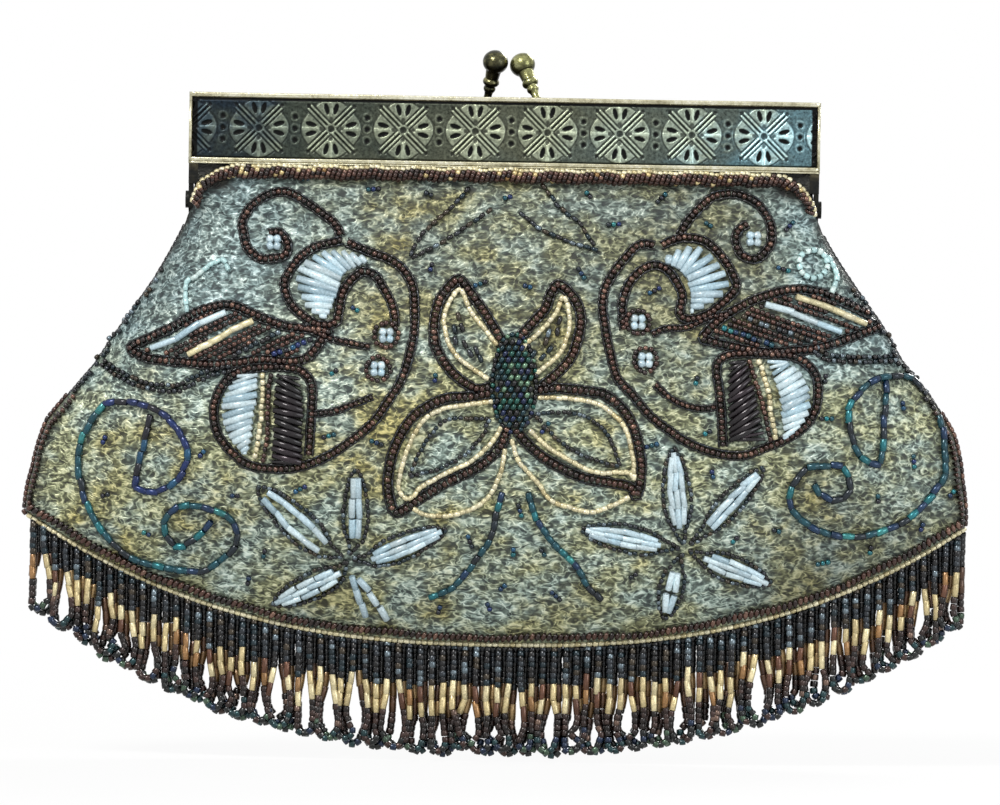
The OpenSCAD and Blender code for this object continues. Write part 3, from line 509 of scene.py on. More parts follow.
class Look:
    def __init__(self, name, **settings):
        self.material = bpy.data.materials.new(name)
        self.material.use_nodes = True
        self.tree = self.material.node_tree
        self.tree.nodes.clear()
        self.shader = self.node("BsdfPrincipled")
        self.node("OutputMaterial", {0: self.shader.outputs[0]})
        self.wear(**settings)

    def node(self, kind, sockets=(), **settings):
        return add_node(self.tree, kind, sockets, **settings)

    def wear(self, **sockets):
        """Sets or links the shader's sockets, and gives the material."""
        for key, value in sockets.items():
            put(self.tree, self.shader.inputs[key.replace("_", " ")], value)
        return self.material

    def value(self, attribute, output="Fac"):
        return self.node("Attribute", attribute_name=attribute).outputs[output]

    def place(self, squeeze=(1, 1, 1), attribute=None):
        """Coordinates in millimetres, each axis multiplied by squeeze."""
        if attribute:
            source = self.value(attribute, "Vector")
        else:
            source = self.node("TexCoord").outputs["Object"]
            squeeze = [s / MM for s in squeeze]
        return self.node("VectorMath", {0: source, 1: squeeze}, operation="MULTIPLY").outputs[0]

    def up_and_down(self, output):
        """The height part of the place or of the facing."""
        return self.node("SeparateXYZ", {0: self.node("TexCoord").outputs[output]}).outputs[2]

    def noise(self, where, scale, detail=3, rough=0.5, warp=0):
        return self.node("TexNoise", {"Vector": where, "Scale": scale, "Detail": detail,
                                      "Roughness": rough, "Distortion": warp}).outputs["Fac"]

    def cells(self, where, scale):
        return self.node("TexVoronoi", {"Vector": where, "Scale": scale}).outputs["Distance"]

    def ramp(self, factor, places, shades):
        """Colours at places along a factor."""
        node = self.node("ValToRGB", {0: factor})
        points = node.color_ramp.elements
        for at in places[2:]:
            points.new(at)
        for point, at, shade in zip(points, places, shades):
            point.position = at
            point.color = colour(*shade)
        return node.outputs[0]

    def level(self, factor, low, high, to_low=0, to_high=1):
        return self.node("MapRange", {"Value": factor, "From Min": low, "From Max": high,
                                      "To Min": to_low, "To Max": to_high}).outputs[0]

    def maths(self, how, a, b):
        return self.node("Math", {0: a, 1: b}, operation=how).outputs[0]

    def mix(self, factor, a, b, how="MIX"):
        return self.node("Mix", {0: factor, 6: a, 7: b}, data_type="RGBA", blend_type=how).outputs[2]

    def blotched(self, factor, share, tint, low, high, dark):
        """The tint, dimmed to a grey of dark where the factor is low, by a share."""
        veil = self.ramp(factor, (low, high), ((dark, dark, dark), (255, 255, 255)))
        return self.mix(share, tint, veil, "MULTIPLY")

    def bump(self, height, depth_mm):
        return self.node("Bump", {"Height": height, "Distance": depth_mm * MM}).outputs[0]


TONES = (0.27, 0.37, 0.46, 0.55, 0.66)
WARM_THREAD = ((54, 54, 38), (94, 94, 62), (130, 132, 92), (168, 168, 122), (208, 206, 160))
COOL_THREAD = ((50, 66, 72), (88, 110, 114), (124, 152, 158), (162, 190, 196), (206, 230, 236))
GILT = colour(255, 232, 150)
CLOTH_SHADE = colour(56, 50, 42)
UNDERSIDE_SHADE = colour(12, 13, 12)
BELOW_BAND_SHADE = colour(20, 24, 28)


def lame_look():
    """Crinkled metal thread: painted highlights on its crests and painted shade in its hollows, gold in
    some places and silvery in others, with the cloth's painted reflection and painted shade laid over it.
    """
    look = Look("gold_cloth", Specular_IOR_Level=0.5)
    grain = look.noise(look.place((0.75, 1, 1.1), "cloth"), 0.72, 2, 0.4, 0.7)
    strands = look.noise(look.place((0.6, 1, 1.05), "cloth"), 0.66, 1, 0.3, 0.9)
    off_middle = look.maths("ABSOLUTE", look.maths("SUBTRACT", strands, 0.5), 0)
    crest = look.level(off_middle, 0, 0.12, 1, 0)
    broad = look.noise(look.place((1.2, 1, 0.7), "cloth"), 0.045, 3, 0.55, 0.4)
    cast = look.noise(look.place((0.8, 1, 1.2), "cloth"), 0.11, 3, 0.6)
    # Brighter along the crests of the strands: a painted highlight on the crinkles
    bright = look.maths("MULTIPLY", crest, 0.24)
    tone = look.maths("ADD", look.maths("MULTIPLY", grain, 0.72), bright)
    warm = look.ramp(tone, TONES, WARM_THREAD)
    cool = look.ramp(tone, TONES, COOL_THREAD)
    gold = look.mix(look.level(broad, 0.47, 0.66), warm, look.mix(0.8, warm, GILT, "MULTIPLY"))
    mixed = look.mix(look.level(cast, 0.4, 0.62, 0.12, 0.6), gold, cool)
    # A painted cool reflection, where the cloth's attribute places it
    painted_reflection = look.mix(look.value("painted_reflection"), mixed, cool)
    return look.wear(
        Base_Color=look.mix(look.value("shade"), painted_reflection, CLOTH_SHADE, "MULTIPLY"),
        Metallic=look.level(tone, 0.38, 0.6, 0.25, 0.4),
        Roughness=look.level(tone, 0.38, 0.62, 0.6, 0.42),
        Normal=look.bump(tone, 0.5),
    )


def bead_look():
    """Glass beads: colour, darkened towards each bead's ends as painted shade, and finish come from each
    bead, with a faint mottle.
    """
    look = Look("beads", Coat_Weight=0.35, Coat_Roughness=0.08, Coat_IOR=1.5)
    mottle = look.noise(look.place(), 1.6, 2)
    return look.wear(
        Base_Color=look.blotched(mottle, 0.3, look.value("tint", "Color"), 0.35, 0.65, 150),
        Metallic=look.value("tint", "Alpha"),
        Roughness=look.level(mottle, 0.3, 0.7, 0.2, 0.34),
    )


def brass_look(name, shades, rough=(0.28, 0.5), underside_shade=0, shaded_below_band=False):
    """Worn brass, blotched and brushed; it can carry painted shade on its undersides and below the band.
    """
    look = Look(name, Metallic=0.92)
    where = look.place()
    blotch = look.noise(where, 0.09, 5, 0.6, 0.4)
    speck = look.noise(where, 0.9, 3, 0.6)
    brush = look.noise(look.place((0.12, 2.5, 2.5)), 1.2, 3)
    tone = look.maths("ADD", look.maths("MULTIPLY", blotch, 0.6), look.maths("MULTIPLY", speck, 0.4))
    tint = look.ramp(tone, (0.36, 0.5, 0.64), shades)
    # Painted shade on the faces that look down
    if underside_shade:
        facing = look.up_and_down("Normal")
        tint = look.mix(look.level(facing, 0.35, -0.45, 0, underside_shade), tint, UNDERSIDE_SHADE)
    # Painted shade below the band, over the frame's arms
    if shaded_below_band:
        height = look.up_and_down("Object")
        tint = look.mix(look.level(height, (Z_BAND + 0.5) * MM, (Z_BAND - 2) * MM, 0, 0.9), tint, BELOW_BAND_SHADE)
    return look.wear(
        Base_Color=tint,
        Roughness=look.level(tone, 0.35, 0.65, rough[1], rough[0]),
        Normal=look.bump(look.maths("ADD", brush, speck), 0.05),
    )


def lining_look():
    """Plain brown satin with a fine weave."""
    look = Look("lining_cloth", Roughness=0.55, Sheen_Weight=0.25, Sheen_Roughness=0.4)
    weave = look.cells(look.place(attribute="cloth"), 2.2)
    blotch = look.noise(look.place(attribute="cloth"), 0.06, 3)
    return look.wear(
        Base_Color=look.ramp(blotch, (0.35, 0.65), ((58, 44, 32), (88, 68, 50))),
        Normal=look.bump(weave, 0.12),
    )


REFLECTION_STOPS = (0.02, 0.18, 0.5, 0.82, 0.97)
PLATE_GROUND = ((30, 42, 52), (62, 70, 62), (92, 96, 80), (90, 102, 96), (100, 132, 140))
PLATE_CREST = ((74, 90, 96), (138, 148, 130), (182, 190, 162), (184, 200, 182), (206, 244, 248))


def plate_look():
    """Old pressed brass: bluish and dark towards one end, pale towards the other as a painted reflection,
    rubbed on the crests, and very dark in the hollows.
    """
    look = Look("pressed_brass", Metallic=0.8)
    broad = look.noise(look.place((1, 0.2, 1.3)), 0.07, 4, 0.6, 0.6)
    speck = look.noise(look.place(), 1.3, 4, 0.65)
    # The painted reflection runs from one end of the plate to the other
    reflection_along = look.maths("ADD", look.value("along"), look.level(broad, 0.3, 0.7, -0.14, 0.14))
    ground = look.blotched(speck, 0.75, look.ramp(reflection_along, REFLECTION_STOPS, PLATE_GROUND), 0.34, 0.62, 70)
    crest = look.blotched(speck, 0.6, look.ramp(reflection_along, REFLECTION_STOPS, PLATE_CREST), 0.34, 0.6, 120)
    tint = look.mix(look.level(look.value("rise"), 0.1, 0.8), ground, crest)
    return look.wear(
        # Very dark where the hollow attribute is high: the pierced holes and the grooves by the rails,
        # painted shade with patina, and the plate's ends
        Base_Color=look.mix(look.value("hollow"), tint, colour(7, 8, 8)),
        Roughness=look.level(speck, 0.3, 0.7, 0.26, 0.46),
        Normal=look.bump(speck, 0.05),
    )


LAME = lame_look()
BEADS = bead_look()
ANTIQUE = brass_look("antique_brass", ((58, 54, 44), (98, 92, 72), (142, 132, 104)), shaded_below_band=True)
BRIGHT = brass_look("bright_brass", ((140, 134, 108), (194, 190, 162), (230, 228, 210)), (0.2, 0.34))
# The posts share one brass as lit and shaded copies: painted shade on the back post, painted light on the
# front one
SHADED_POST = brass_look("shaded_post", ((30, 32, 28), (64, 64, 48), (136, 132, 92)), (0.16, 0.3), 0.95)
LIT_POST = brass_look("lit_post", ((84, 84, 54), (150, 150, 102), (214, 214, 162)), (0.14, 0.28), 0.85)
LINING = lining_look()
PLATE = plate_look()


def wear_look(piece, material):
    """Gives a piece this look alone."""
    piece.data.materials.clear()
    piece.data.materials.append(material)


# Cloth

def float_attribute(piece, name, values):
    layer = piece.data.attributes.new(name, "FLOAT", "POINT")
    layer.data.foreach_set("value", np.asarray(values, np.float32).ravel())


# The cloth ends inside the frame at this height
Z_SKIN_TOP = 163.5
SKIN_T = 0.7
LINING_T = 0.4
# Columns, rows of the body and rows of the neck
SKIN_GRID = (281, 170, 40)
LINING_GRID = (121, 80, 24)
LINING_SHARE = 0.985
LINING_HALF = 77.1
LINING_IN = 0.85
LINING_TUCK = 3.85


def cloth_grid(cols, rows, neck_rows, shrink=1.0, wide=None):
    """x and z of a grid over the bag's face, hem first."""
    t = np.linspace(-1, 1, cols)
    u = 0.35 * t + 0.65 * np.sin(np.pi / 2 * t)
    v = np.sin(np.pi / 2 * np.linspace(1, 0, rows)) ** 0.9
    U, V = np.meshgrid(u * shrink, v * shrink)
    x = U * width_at(V)
    z = height_of(U, V)
    up = np.linspace(Z_BODY, Z_SKIN_TOP, neck_rows + 1)[1:]
    X2, Z2 = np.meshgrid(u * shrink, up)
    half = np.interp(Z2, NECK_HALF_Z, NECK_HALF_W)
    if wide:
        half = np.interp(Z2, [Z_BODY, 141], [TOP_HALF_W * shrink, wide]) / shrink
    x = np.concatenate([x, X2 * half])
    z = np.concatenate([z, Z2])
    return x + pull(x, z), z


def cloth_piece(name, side, x, z, outer_y, inner_y, material):
    """A closed sheet over a grid, and its points, which its look takes its places from."""
    outer = np.stack([x, side * outer_y, z], -1)
    inner = np.stack([x, side * inner_y, z], -1)
    if side > 0:
        outer = outer[:, ::-1]
        inner = inner[:, ::-1]
    piece = closed_sheet(name, outer, inner)
    flat = np.concatenate([outer.reshape(-1, 3), inner.reshape(-1, 3)])
    layer = piece.data.attributes.new("cloth", "FLOAT_VECTOR", "POINT")
    layer.data.foreach_set("vector", flat.astype(np.float32).ravel())
    wear_look(piece, material)
    return piece, flat


def skin(side):
    """One face of the bag: cloth from the hem up into the frame."""
    x, z = cloth_grid(*SKIN_GRID)
    out = depth(x, z)
    if side > 0:
        out = out + 0.25 * np.sin(0.11 * x + 1.7) * smooth((out - 3) / 6) * smooth((135 - z) / 20)
    name = half_name(side)
    piece, flat = cloth_piece("skin_" + name, side, x, z, out, np.maximum(out - SKIN_T, 0.12), LAME)
    fx = flat[:, 0]
    fz = flat[:, 2]
    # Painted reflection: a cool silvery sheen at the left and at the upper right
    left = 0.75 * smooth((-fx - 25) / 50) * smooth((fz - 75) / 45)
    upper_right = smooth((fx - 64) / 14) * smooth((fz - 92) / 12)
    float_attribute(piece, "painted_reflection", left + 0.7 * upper_right)
    # Darker along the seams, in the lower right corner, tucked in at the frame's ends, and high up
    edge_w = 3.5 + 5.5 * smooth((88 - fz) / 30)
    edge = smooth(1 - (width_at(share_down(fx, fz)) - np.abs(fx)) / edge_w)
    corner = smooth((fx - 45) / 40) * smooth((92 - fz) / 45)
    tucked = smooth((np.abs(fx) - 66) / 8) * smooth((fz - 141) / 5)
    high = 0.36 * smooth((fz - 84) / 42) + 0.14 * smooth((fz - 70) / 30) * smooth((fx + 10) / 60)
    high = high * (1 - 0.55 * smooth((fx - 62) / 14) * smooth((fz - 92) / 12))
    shade = 0.7 * edge + 0.15 * smooth((60 - fz) / 40) + 0.46 * corner + 1.4 * tucked + high
    float_attribute(piece, "shade", np.clip(shade, 0, 1))
    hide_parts(name + "_panel", name + "_yoke", name + "_neck_cloth")
    return piece


def lining(side):
    """The cloth inside one face, tucked towards the middle in the frame."""
    x, z = cloth_grid(*LINING_GRID, LINING_SHARE, LINING_HALF)
    tuck = smooth((z - 140) / 12)
    face = (depth(x, z) - LINING_IN) * (1 - tuck) + LINING_TUCK * tuck
    name = half_name(side)
    piece, _ = cloth_piece(name + "_lining_cloth", side, x, z, np.maximum(face, 0.1),
                           np.maximum(face - LINING_T, 0.06), LINING)
    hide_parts(name + "_lining")
    return piece


# Beads

SEED_L = 1.3
SEED_D = 1.42
HUES = {
    "brown": [((66, 42, 34), 5, 0.5), ((84, 56, 46), 3, 0.55), ((40, 27, 24), 3, 0.5),
              ((120, 90, 76), 1.2, 0.65)],
    "gold": [((200, 178, 124), 4, 0.5), ((222, 202, 150), 3, 0.5), ((150, 116, 70), 2, 0.55)],
    "bar": [((206, 188, 140), 5, 0.4), ((226, 212, 168), 3, 0.35), ((150, 112, 70), 2, 0.55),
            ((96, 62, 44), 1, 0.55)],
    # A darker copy of the bar colours for the fringe's back layer: painted shade
    "amber": [((120, 92, 58), 4, 0.55), ((84, 58, 40), 3, 0.55), ((168, 140, 96), 2, 0.5)],
    # Very dark beads that stand in for shade: painted shade on the fringe's back layer and header, beside
    # ropes and up the cloth's edge
    "black": [((12, 12, 13), 5, 0.4), ((24, 27, 30), 2, 0.6), ((40, 46, 52), 1, 0.65)],
    "pale": [((216, 206, 164), 5, 0.25), ((232, 224, 188), 3, 0.25), ((196, 182, 136), 1, 0.35)],
    "white": [((184, 208, 218), 5, 0.05), ((202, 222, 228), 4, 0.05), ((166, 194, 206), 1.5, 0.1)],
    "umber": [((44, 29, 25), 5, 0.5), ((64, 45, 39), 3, 0.55), ((26, 19, 17), 4, 0.5),
              ((112, 90, 78), 0.8, 0.65)],
    "cyan": [((186, 222, 222), 4, 0.05), ((214, 236, 232), 2, 0.05)],
    "teal": [((14, 72, 84), 5, 0.5), ((20, 108, 116), 2.5, 0.5), ((12, 48, 82), 3, 0.5),
             ((52, 128, 128), 0.7, 0.6), ((16, 30, 40), 3, 0.5)],
    "dark": [((22, 22, 24), 4, 0.5), ((46, 52, 58), 3, 0.65), ((104, 118, 126), 1.4, 0.7),
             ((22, 42, 50), 2, 0.55), ((62, 54, 42), 1.4, 0.6)],
    "chain": [((22, 26, 26), 4, 0.5), ((24, 58, 62), 2.5, 0.55), ((70, 92, 74), 1.2, 0.65),
              ((22, 40, 66), 2, 0.55), ((56, 36, 30), 2, 0.5)],
    "ink": [((16, 40, 92), 3, 0.5), ((20, 22, 34), 2.5, 0.5), ((26, 78, 110), 2, 0.5)],
    "satin": [((27, 20, 25), 4, 0.5), ((17, 13, 17), 3, 0.45), ((44, 35, 41), 1.5, 0.6)],
    "body": [((14, 52, 60), 4, 0.6), ((16, 34, 70), 2.5, 0.6), ((24, 80, 70), 2, 0.6),
             ((14, 16, 20), 4, 0.5), ((96, 128, 104), 1, 0.7)],
}
# How much the painted shade at the ends of these darkens them, where the others darken in full
SOFT_ENDS = {"white": 0.35, "pale": 0.3, "gold": 0.6, "bar": 0.5, "cyan": 0.35}

# Rings of a bead: place along it, share of its width and brightness, which paints shade towards the ends
# where beads meet
SHOULDER = 0.4
RINGS = [(-0.5, 0.34, 0.3), (-SHOULDER, 0.8, 0.72), (0.0, 1.0, 1.0), (SHOULDER, 0.8, 0.72),
         (0.5, 0.34, 0.3)]
SIDES = 8
FOLD = 0.13


class Beads:
    """Collects beads and turns them into one mesh."""

    def __init__(self, seed):
        self.rng = np.random.default_rng(seed)
        self.parts = []

    def add(self, centres, axes, kind, length=SEED_L, across=SEED_D, fold=FOLD, blunt=0.0):
        """Beads at centres, with holes along axes, that narrow within fold of their ends."""
        count = len(centres)
        if not count:
            return
        choices = HUES[kind]
        weight = np.array([c[1] for c in choices], float)
        pick = self.rng.choice(len(choices), count, p=weight / weight.sum())
        tints = to_linear([c[0] for c in choices])[pick]
        tints = tints * self.rng.uniform(0.8, 1.2, (count, 1))
        metal = np.array([c[2] for c in choices])[pick]
        size = self.rng.uniform(0.93, 1.05, count) * across / 2
        long = np.broadcast_to(length, count) * self.rng.uniform(0.95, 1.02, count)
        axes = unit(axes + self.rng.normal(0, 0.05, axes.shape))
        shut = np.broadcast_to(float(fold), count)
        dim = np.broadcast_to(SOFT_ENDS.get(kind, 1.0), count)
        full = np.broadcast_to(float(blunt), count)
        self.parts.append((np.asarray(centres, float), axes, size, long, tints, metal, shut, dim, full))

    def make(self, name):
        centres, axes, size, long, tints, metal, shut, dim, full = (
            np.concatenate(part) for part in zip(*self.parts))
        helper = np.where(np.abs(axes[:, 1:2]) < 0.8, [[0, 1, 0]], [[1, 0, 0]])
        side = unit(np.cross(axes, helper))
        other = np.cross(axes, side)
        turn = np.arange(SIDES) * 2 * np.pi / SIDES + 0.2
        around = (side[:, None] * np.cos(turn)[None, :, None]
                  + other[:, None] * np.sin(turn)[None, :, None])
        rings = []
        shades = []
        # The rings' brightness darkens the colour towards each bead's ends: painted shade where beads meet
        for along, wide, light in RINGS:
            # The shoulders stay at the fold, however long the bead is
            away = long * along
            if abs(along) == SHOULDER:
                away = np.sign(along) * (long / 2 - shut)
            centre = centres + axes * away[:, None]
            reach = size * (wide + (1 - wide) * full)
            rings.append(centre[:, None] + around * reach[:, None, None])
            shades.append(np.broadcast_to((1 - (1 - light) * dim)[:, None], (len(centres), SIDES)))
        points = np.stack(rings, 1)
        shade = np.stack(shades, 1)
        count = len(centres)
        k, s = np.meshgrid(np.arange(len(RINGS)), np.arange(SIDES), indexing="ij")
        nk = (k + 1) % len(RINGS)
        ns = (s + 1) % SIDES
        quad = np.stack([k * SIDES + s, k * SIDES + ns, nk * SIDES + ns, nk * SIDES + s], -1)
        quad = quad.reshape(-1, 4)
        quads = (np.arange(count)[:, None, None] * len(RINGS) * SIDES + quad).reshape(-1, 4)
        piece = fast_mesh(name, points.reshape(-1, 3), quads)
        rgba = np.concatenate([
            tints[:, None, None, :] * shade[..., None],
            np.broadcast_to(metal[:, None, None, None], shade.shape + (1,)),
        ], -1)
        layer = piece.data.color_attributes.new("tint", "FLOAT_COLOR", "POINT")
        layer.data.foreach_set("color", np.clip(rgba, 0, 1).astype(np.float32).ravel())
        wear_look(piece, BEADS)
        return piece


def on_cloth(flat, lift=0.62, side=-1):
    """Points on the face of the bag from (x, z) pairs, lifted off it."""
    x = flat[:, 0]
    z = flat[:, 1]
    points = np.stack([x, -depth(x, z), z], 1) + normal_at(x, z) * lift
    if side > 0:
        points[:, 1] *= -1
    return points


def lying(at, way, lift, side=-1):
    """Middles and directions of what lies on the cloth at (x, z), along way."""
    ahead = on_cloth(at + way * 0.5, lift, side)
    behind = on_cloth(at - way * 0.5, lift, side)
    return (ahead + behind) / 2, ahead - behind


def flat_line(points, closed=False):
    """(x, down) points to a close line of (x, z)."""
    p = np.asarray(points, float)
    return dense(np.stack([p[:, 0], Z_TOP - p[:, 1]], 1), closed)


def aside(line, off):
    """A flat line moved to its left."""
    return line + off * left_of(unit(np.gradient(line, axis=0)))


SEW_IN = 0.9
RIB_IN = 1.2
RIB_SLANT = 0.35


def sew(beads, line, kind, length=SEED_L, across=SEED_D, lift=None, jitter=0.1, blunt=0.1):
    """One row of beads along a flat line of (x, z)."""
    lift = across * 0.42 if lift is None else lift
    at, way, _ = spaced(line, length * 1.02)
    at = at + beads.rng.normal(0, jitter, at.shape)
    held = within(at, SEW_IN)
    centres, axes = lying(at[held], way[held], lift)
    overlap = 1 + 0.28 * blunt if blunt > 0.4 else 1
    beads.add(centres, unit(axes), kind, length * overlap, across, FOLD, blunt)


def row(beads, points, kind, count=1, pitch=1.38, closed=False, **more):
    """Beads sewn end to end along a line of (x, down), in one row or more side by side."""
    line = flat_line(points, closed)
    for n in range(count):
        off = (n - (count - 1) / 2) * pitch
        sew(beads, aside(line, off) if off else line, kind, **more)


def ribs(beads, points, wide=2.3, pitch=1.4, closed=False):
    """A rope of brown beads that each lie across the line, a little askew, between two dark rows that
    paint the shade along its edges.
    """
    line = flat_line(points, closed)
    at, way, _ = spaced(line, pitch)
    lean = unit(left_of(way) + way * RIB_SLANT)
    at = at + beads.rng.normal(0, 0.06, at.shape)
    held = within(at, RIB_IN)
    centres, axes = lying(at[held], lean[held], 0.7)
    beads.add(centres, axes, "brown", wide * 0.74, pitch * 1.04, wide * 0.2)
    for side in (-1, 1):
        sew(beads, aside(line, side * wide * 0.42), "black", 1.9, 0.72, 0.3, 0.04, 0.5)


SATIN_L = 9
SATIN_LIFT = 0.6
SATIN_SWELL = 0.35


def satin(beads, first, second, kind, count, slant=0.0):
    """Rows of long beads laid side by side from one edge line to the other, swelling in the middle."""
    share = np.linspace(-abs(slant) / 2, 1 + abs(slant) / 2, count)
    last = 399
    a = resample(flat_line(first), last + 1)
    b = resample(flat_line(second), last + 1)
    a = a[np.rint(np.clip(share + slant / 2, 0, 1) * last).astype(int)]
    b = b[np.rint(np.clip(share - slant / 2, 0, 1) * last).astype(int)]
    for k, (p, q) in enumerate(zip(a, b)):
        reach = np.linalg.norm(q - p)
        if reach < 1:
            continue
        n = max(1, int(round(reach / SATIN_L)))
        t = (np.arange(n) + 0.5) / n
        at = p + (q - p) * t[:, None]
        way = (q - p) / reach
        other = k - 1 if k else 1
        gap_p = np.abs(np.cross(a[other] - p, way))
        gap_q = np.abs(np.cross(b[other] - q, way))
        across = np.clip((gap_p + (gap_q - gap_p) * t) * 1.25, 1.1, 2.2)
        hump = SATIN_SWELL * np.sin(np.pi * t)
        normal = normal_at(at[:, 0], at[:, 1])
        centre = on_cloth(at, 0) + normal * (SATIN_LIFT + hump)[:, None]
        slope = 0.5 * np.pi / reach * np.cos(np.pi * t)
        axes = upright(np.tile(way, (n, 1)))
        axes = axes - normal * (axes * normal).sum(1, keepdims=True)
        axes = unit(axes + normal * slope[:, None])
        beads.add(centre, axes, kind, reach / n, across)


CLUSTER_D = 1.95


def cluster(beads, x, down):
    """Four fat white beads set in a square."""
    for dx, dz in ((-1, -1), (1, -1), (1, 1), (-1, 1)):
        at = np.array([[x + dx * CLUSTER_D * 0.46, Z_TOP - down + dz * CLUSTER_D * 0.46]])
        way = np.array([[0.95, 0.1, 0.3 * dx * dz]])
        beads.add(on_cloth(at, 0.75), way, "white", CLUSTER_D * 0.98, CLUSTER_D * 1.08, 0.3, 0.3)


def oval(x, down, wide, tall, count=20):
    turn = np.arange(count) * 2 * np.pi / count
    return np.stack([x + wide * np.cos(turn), down + tall * np.sin(turn)], 1)


# Embroidery that reaches above this height is left unattached; the rest is attached to the pouch
HINGE_START = (0, 0, 0.128)


# Embroidery, one piece of beads for each part that it stands for

def stitched(name, node, seed, fill):
    beads = Beads(seed)
    fill(beads)
    piece = beads.make(name)
    if max(v.co.z for v in piece.data.vertices) > HINGE_START[2]:
        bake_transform(piece)
    else:
        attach(piece, "pouch")
    if node:
        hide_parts(node)


VINE = {"length": 2.9, "across": 1.9, "blunt": 0.6}


def scroll(ropes, thin_ropes, clusters):
    """A flower head's curls, with squares of white beads that are ringed but for the first."""
    def fill(beads):
        for line in ropes:
            ribs(beads, line)
        for line in thin_ropes:
            ribs(beads, line, 1.7, 1.35)
        for n, (x, down) in enumerate(clusters):
            cluster(beads, x, down)
            if n:
                row(beads, oval(x, down, 3, 3), "brown", closed=True)
    return fill


def inside(points, line):
    """Whether points lie within a closed line."""
    x = points[:, :1]
    z = points[:, 1:]
    ax, az = line.T
    bx, bz = np.roll(line, -1, axis=0).T
    crosses = (az > z) != (bz > z)
    rise = np.where(bz == az, NEAR_ZERO, bz - az)
    return (crosses & (x < (bx - ax) * (z - az) / rise + ax)).sum(1) % 2 == 1


def apart(points, line):
    """How far points are from a line."""
    return np.sqrt(((points[:, None] - line[None]) ** 2).sum(-1).min(1))


def wing(line):
    return lambda beads: ribs(beads, line, 2.5, 1.42, True)


WING_PITCH = 1.36
WING_EDGE = 1.45


def wing_fill(beads, outline, bars, slope):
    """Rows of brown beads across a wing, left out where the bars lie."""
    edge = flat_line(outline, True)
    along = np.array([1, slope]) / math.hypot(1, slope)
    over = np.array([-along[1], along[0]])
    middle = edge.mean(0)
    for n in range(-10, 11):
        t = np.arange(-30, 30, WING_PITCH) + 0.6 * (n % 2)
        at = middle + over * n * WING_PITCH + along * t[:, None]
        keep = inside(at, edge) & (apart(at, edge) > WING_EDGE)
        for bar, wide in bars:
            keep &= apart(at, bar) > wide
        at = at[keep]
        if len(at):
            centres, axes = lying(at, along, 0.6)
            beads.add(centres, axes, "brown", 1.34, WING_PITCH)


WING_PLANS = (
    (LEFT_WING_LINE, 0.5, ((LEFT_WING_A, "white"), (LEFT_WING_C, "pale"), (LEFT_WING_E, "dark"),
                           (LEFT_WING_G, "ink"))),
    (RIGHT_WING_LINE, -0.33, ((RIGHT_WING_A, "pale"), (RIGHT_WING_C, "white"),
                              (RIGHT_WING_E, "dark"), (RIGHT_WING_G, "teal"))),
)
LONG_BARS = {"white": 6.2, "pale": 3.1}


def wing_rows(beads):
    """The feathers: long pale bars and short dark ones between rows of brown beads."""
    for outline, slope, bars in WING_PLANS:
        lines = []
        for points, kind in bars:
            line = flat_line(points)
            if kind in LONG_BARS:
                lines.append((line, 1.2))
                sew(beads, line, kind, LONG_BARS[kind], 1.7, 0.85, 0.03, 0.8)
            else:
                lines.append((line, 1.0))
                sew(beads, line, kind, 1.5, 1.6, 0.75)
        wing_fill(beads, outline, lines, slope)


def crescents(beads):
    satin(beads, LEFT_CRESCENT_OUTER, LEFT_CRESCENT_INNER, "white", 14)
    satin(beads, RIGHT_CRESCENT_OUTER, RIGHT_CRESCENT_INNER, "white", 12)


def left_moon(beads):
    satin(beads, LEFT_MOON_OUTER, LEFT_MOON_INNER, "white", 14, 0.1)
    satin(beads, LEFT_SATIN_A, LEFT_SATIN_B, "satin", 15, -0.08)


def right_moon(beads):
    satin(beads, RIGHT_MOON_INNER, RIGHT_MOON_OUTER, "white", 14, 0.16)
    satin(beads, RIGHT_SATIN_A, RIGHT_SATIN_B, "satin", 15, 0.2)


def moon_lines(beads):
    for line in (LEFT_MOON_GOLD, RIGHT_MOON_GOLD):
        row(beads, line, "pale", length=1.5, across=1.5)
    for line in (LEFT_MOON_BROWN, RIGHT_MOON_BROWN):
        row(beads, line, "brown")


def left_vine(beads):
    row(beads, LEFT_GARLAND, "dark", 2, 1.35)
    row(beads, LEFT_SQUIGGLE, "cyan", length=1.8, across=1.35, blunt=0.5)
    row(beads, LEFT_PETAL, "ink", **VINE)
    row(beads, LEFT_PETAL_BAR, "ink", **VINE)
    row(beads, LEFT_VINE, "teal", **VINE)


def right_vine(beads):
    row(beads, RIGHT_GARLAND, "dark", 2, 1.35)
    row(beads, oval(*RING_CENTRE, 3.6, 3.6), "cyan", closed=True, length=1.6, across=1.6, blunt=0.4)
    row(beads, RIGHT_RING_TAIL, "cyan", length=1.8, across=1.5, blunt=0.5)
    row(beads, RIGHT_PETAL, "teal", **VINE)
    row(beads, RIGHT_VINE, "teal", **VINE)


# Widths of the stars' petals, in the order of their tips
LEFT_WIDE = [6.6, 4.8, 5.2, 5.3]
RIGHT_WIDE = [5.6, 4.3, 5.2, 4.6, 5.4]
LEFT_FORK = [[(-36.8, 121.5), (-33.1, 132)], [(-35, 122.3), (-27.6, 132.6)]]
LEFT_HEART = (-38, 117)
RIGHT_HEART = (47.3, 113.5)


def petals(tips, wide):
    """Base, tip and width of each petal of a star."""
    for (base, tip), width in zip(zip(tips[::2], tips[1::2]), wide):
        yield np.array(base, float), np.array(tip, float), width


def petal_side(base, tip, half, sign, start, end):
    """One side of a pointed petal as a line of (x, down)."""
    t = np.linspace(start, end, 9)[:, None]
    way = (tip - base) / np.linalg.norm(tip - base)
    out = np.array([-way[1], way[0]]) * sign
    return (base + (tip - base) * t + out * half * np.sin(np.pi * t ** 0.8) ** 0.6).tolist()


# A petal wider than the first is hollow; one narrower than the second has two rows
HOLLOW_W = 6
NARROW_W = 4.9


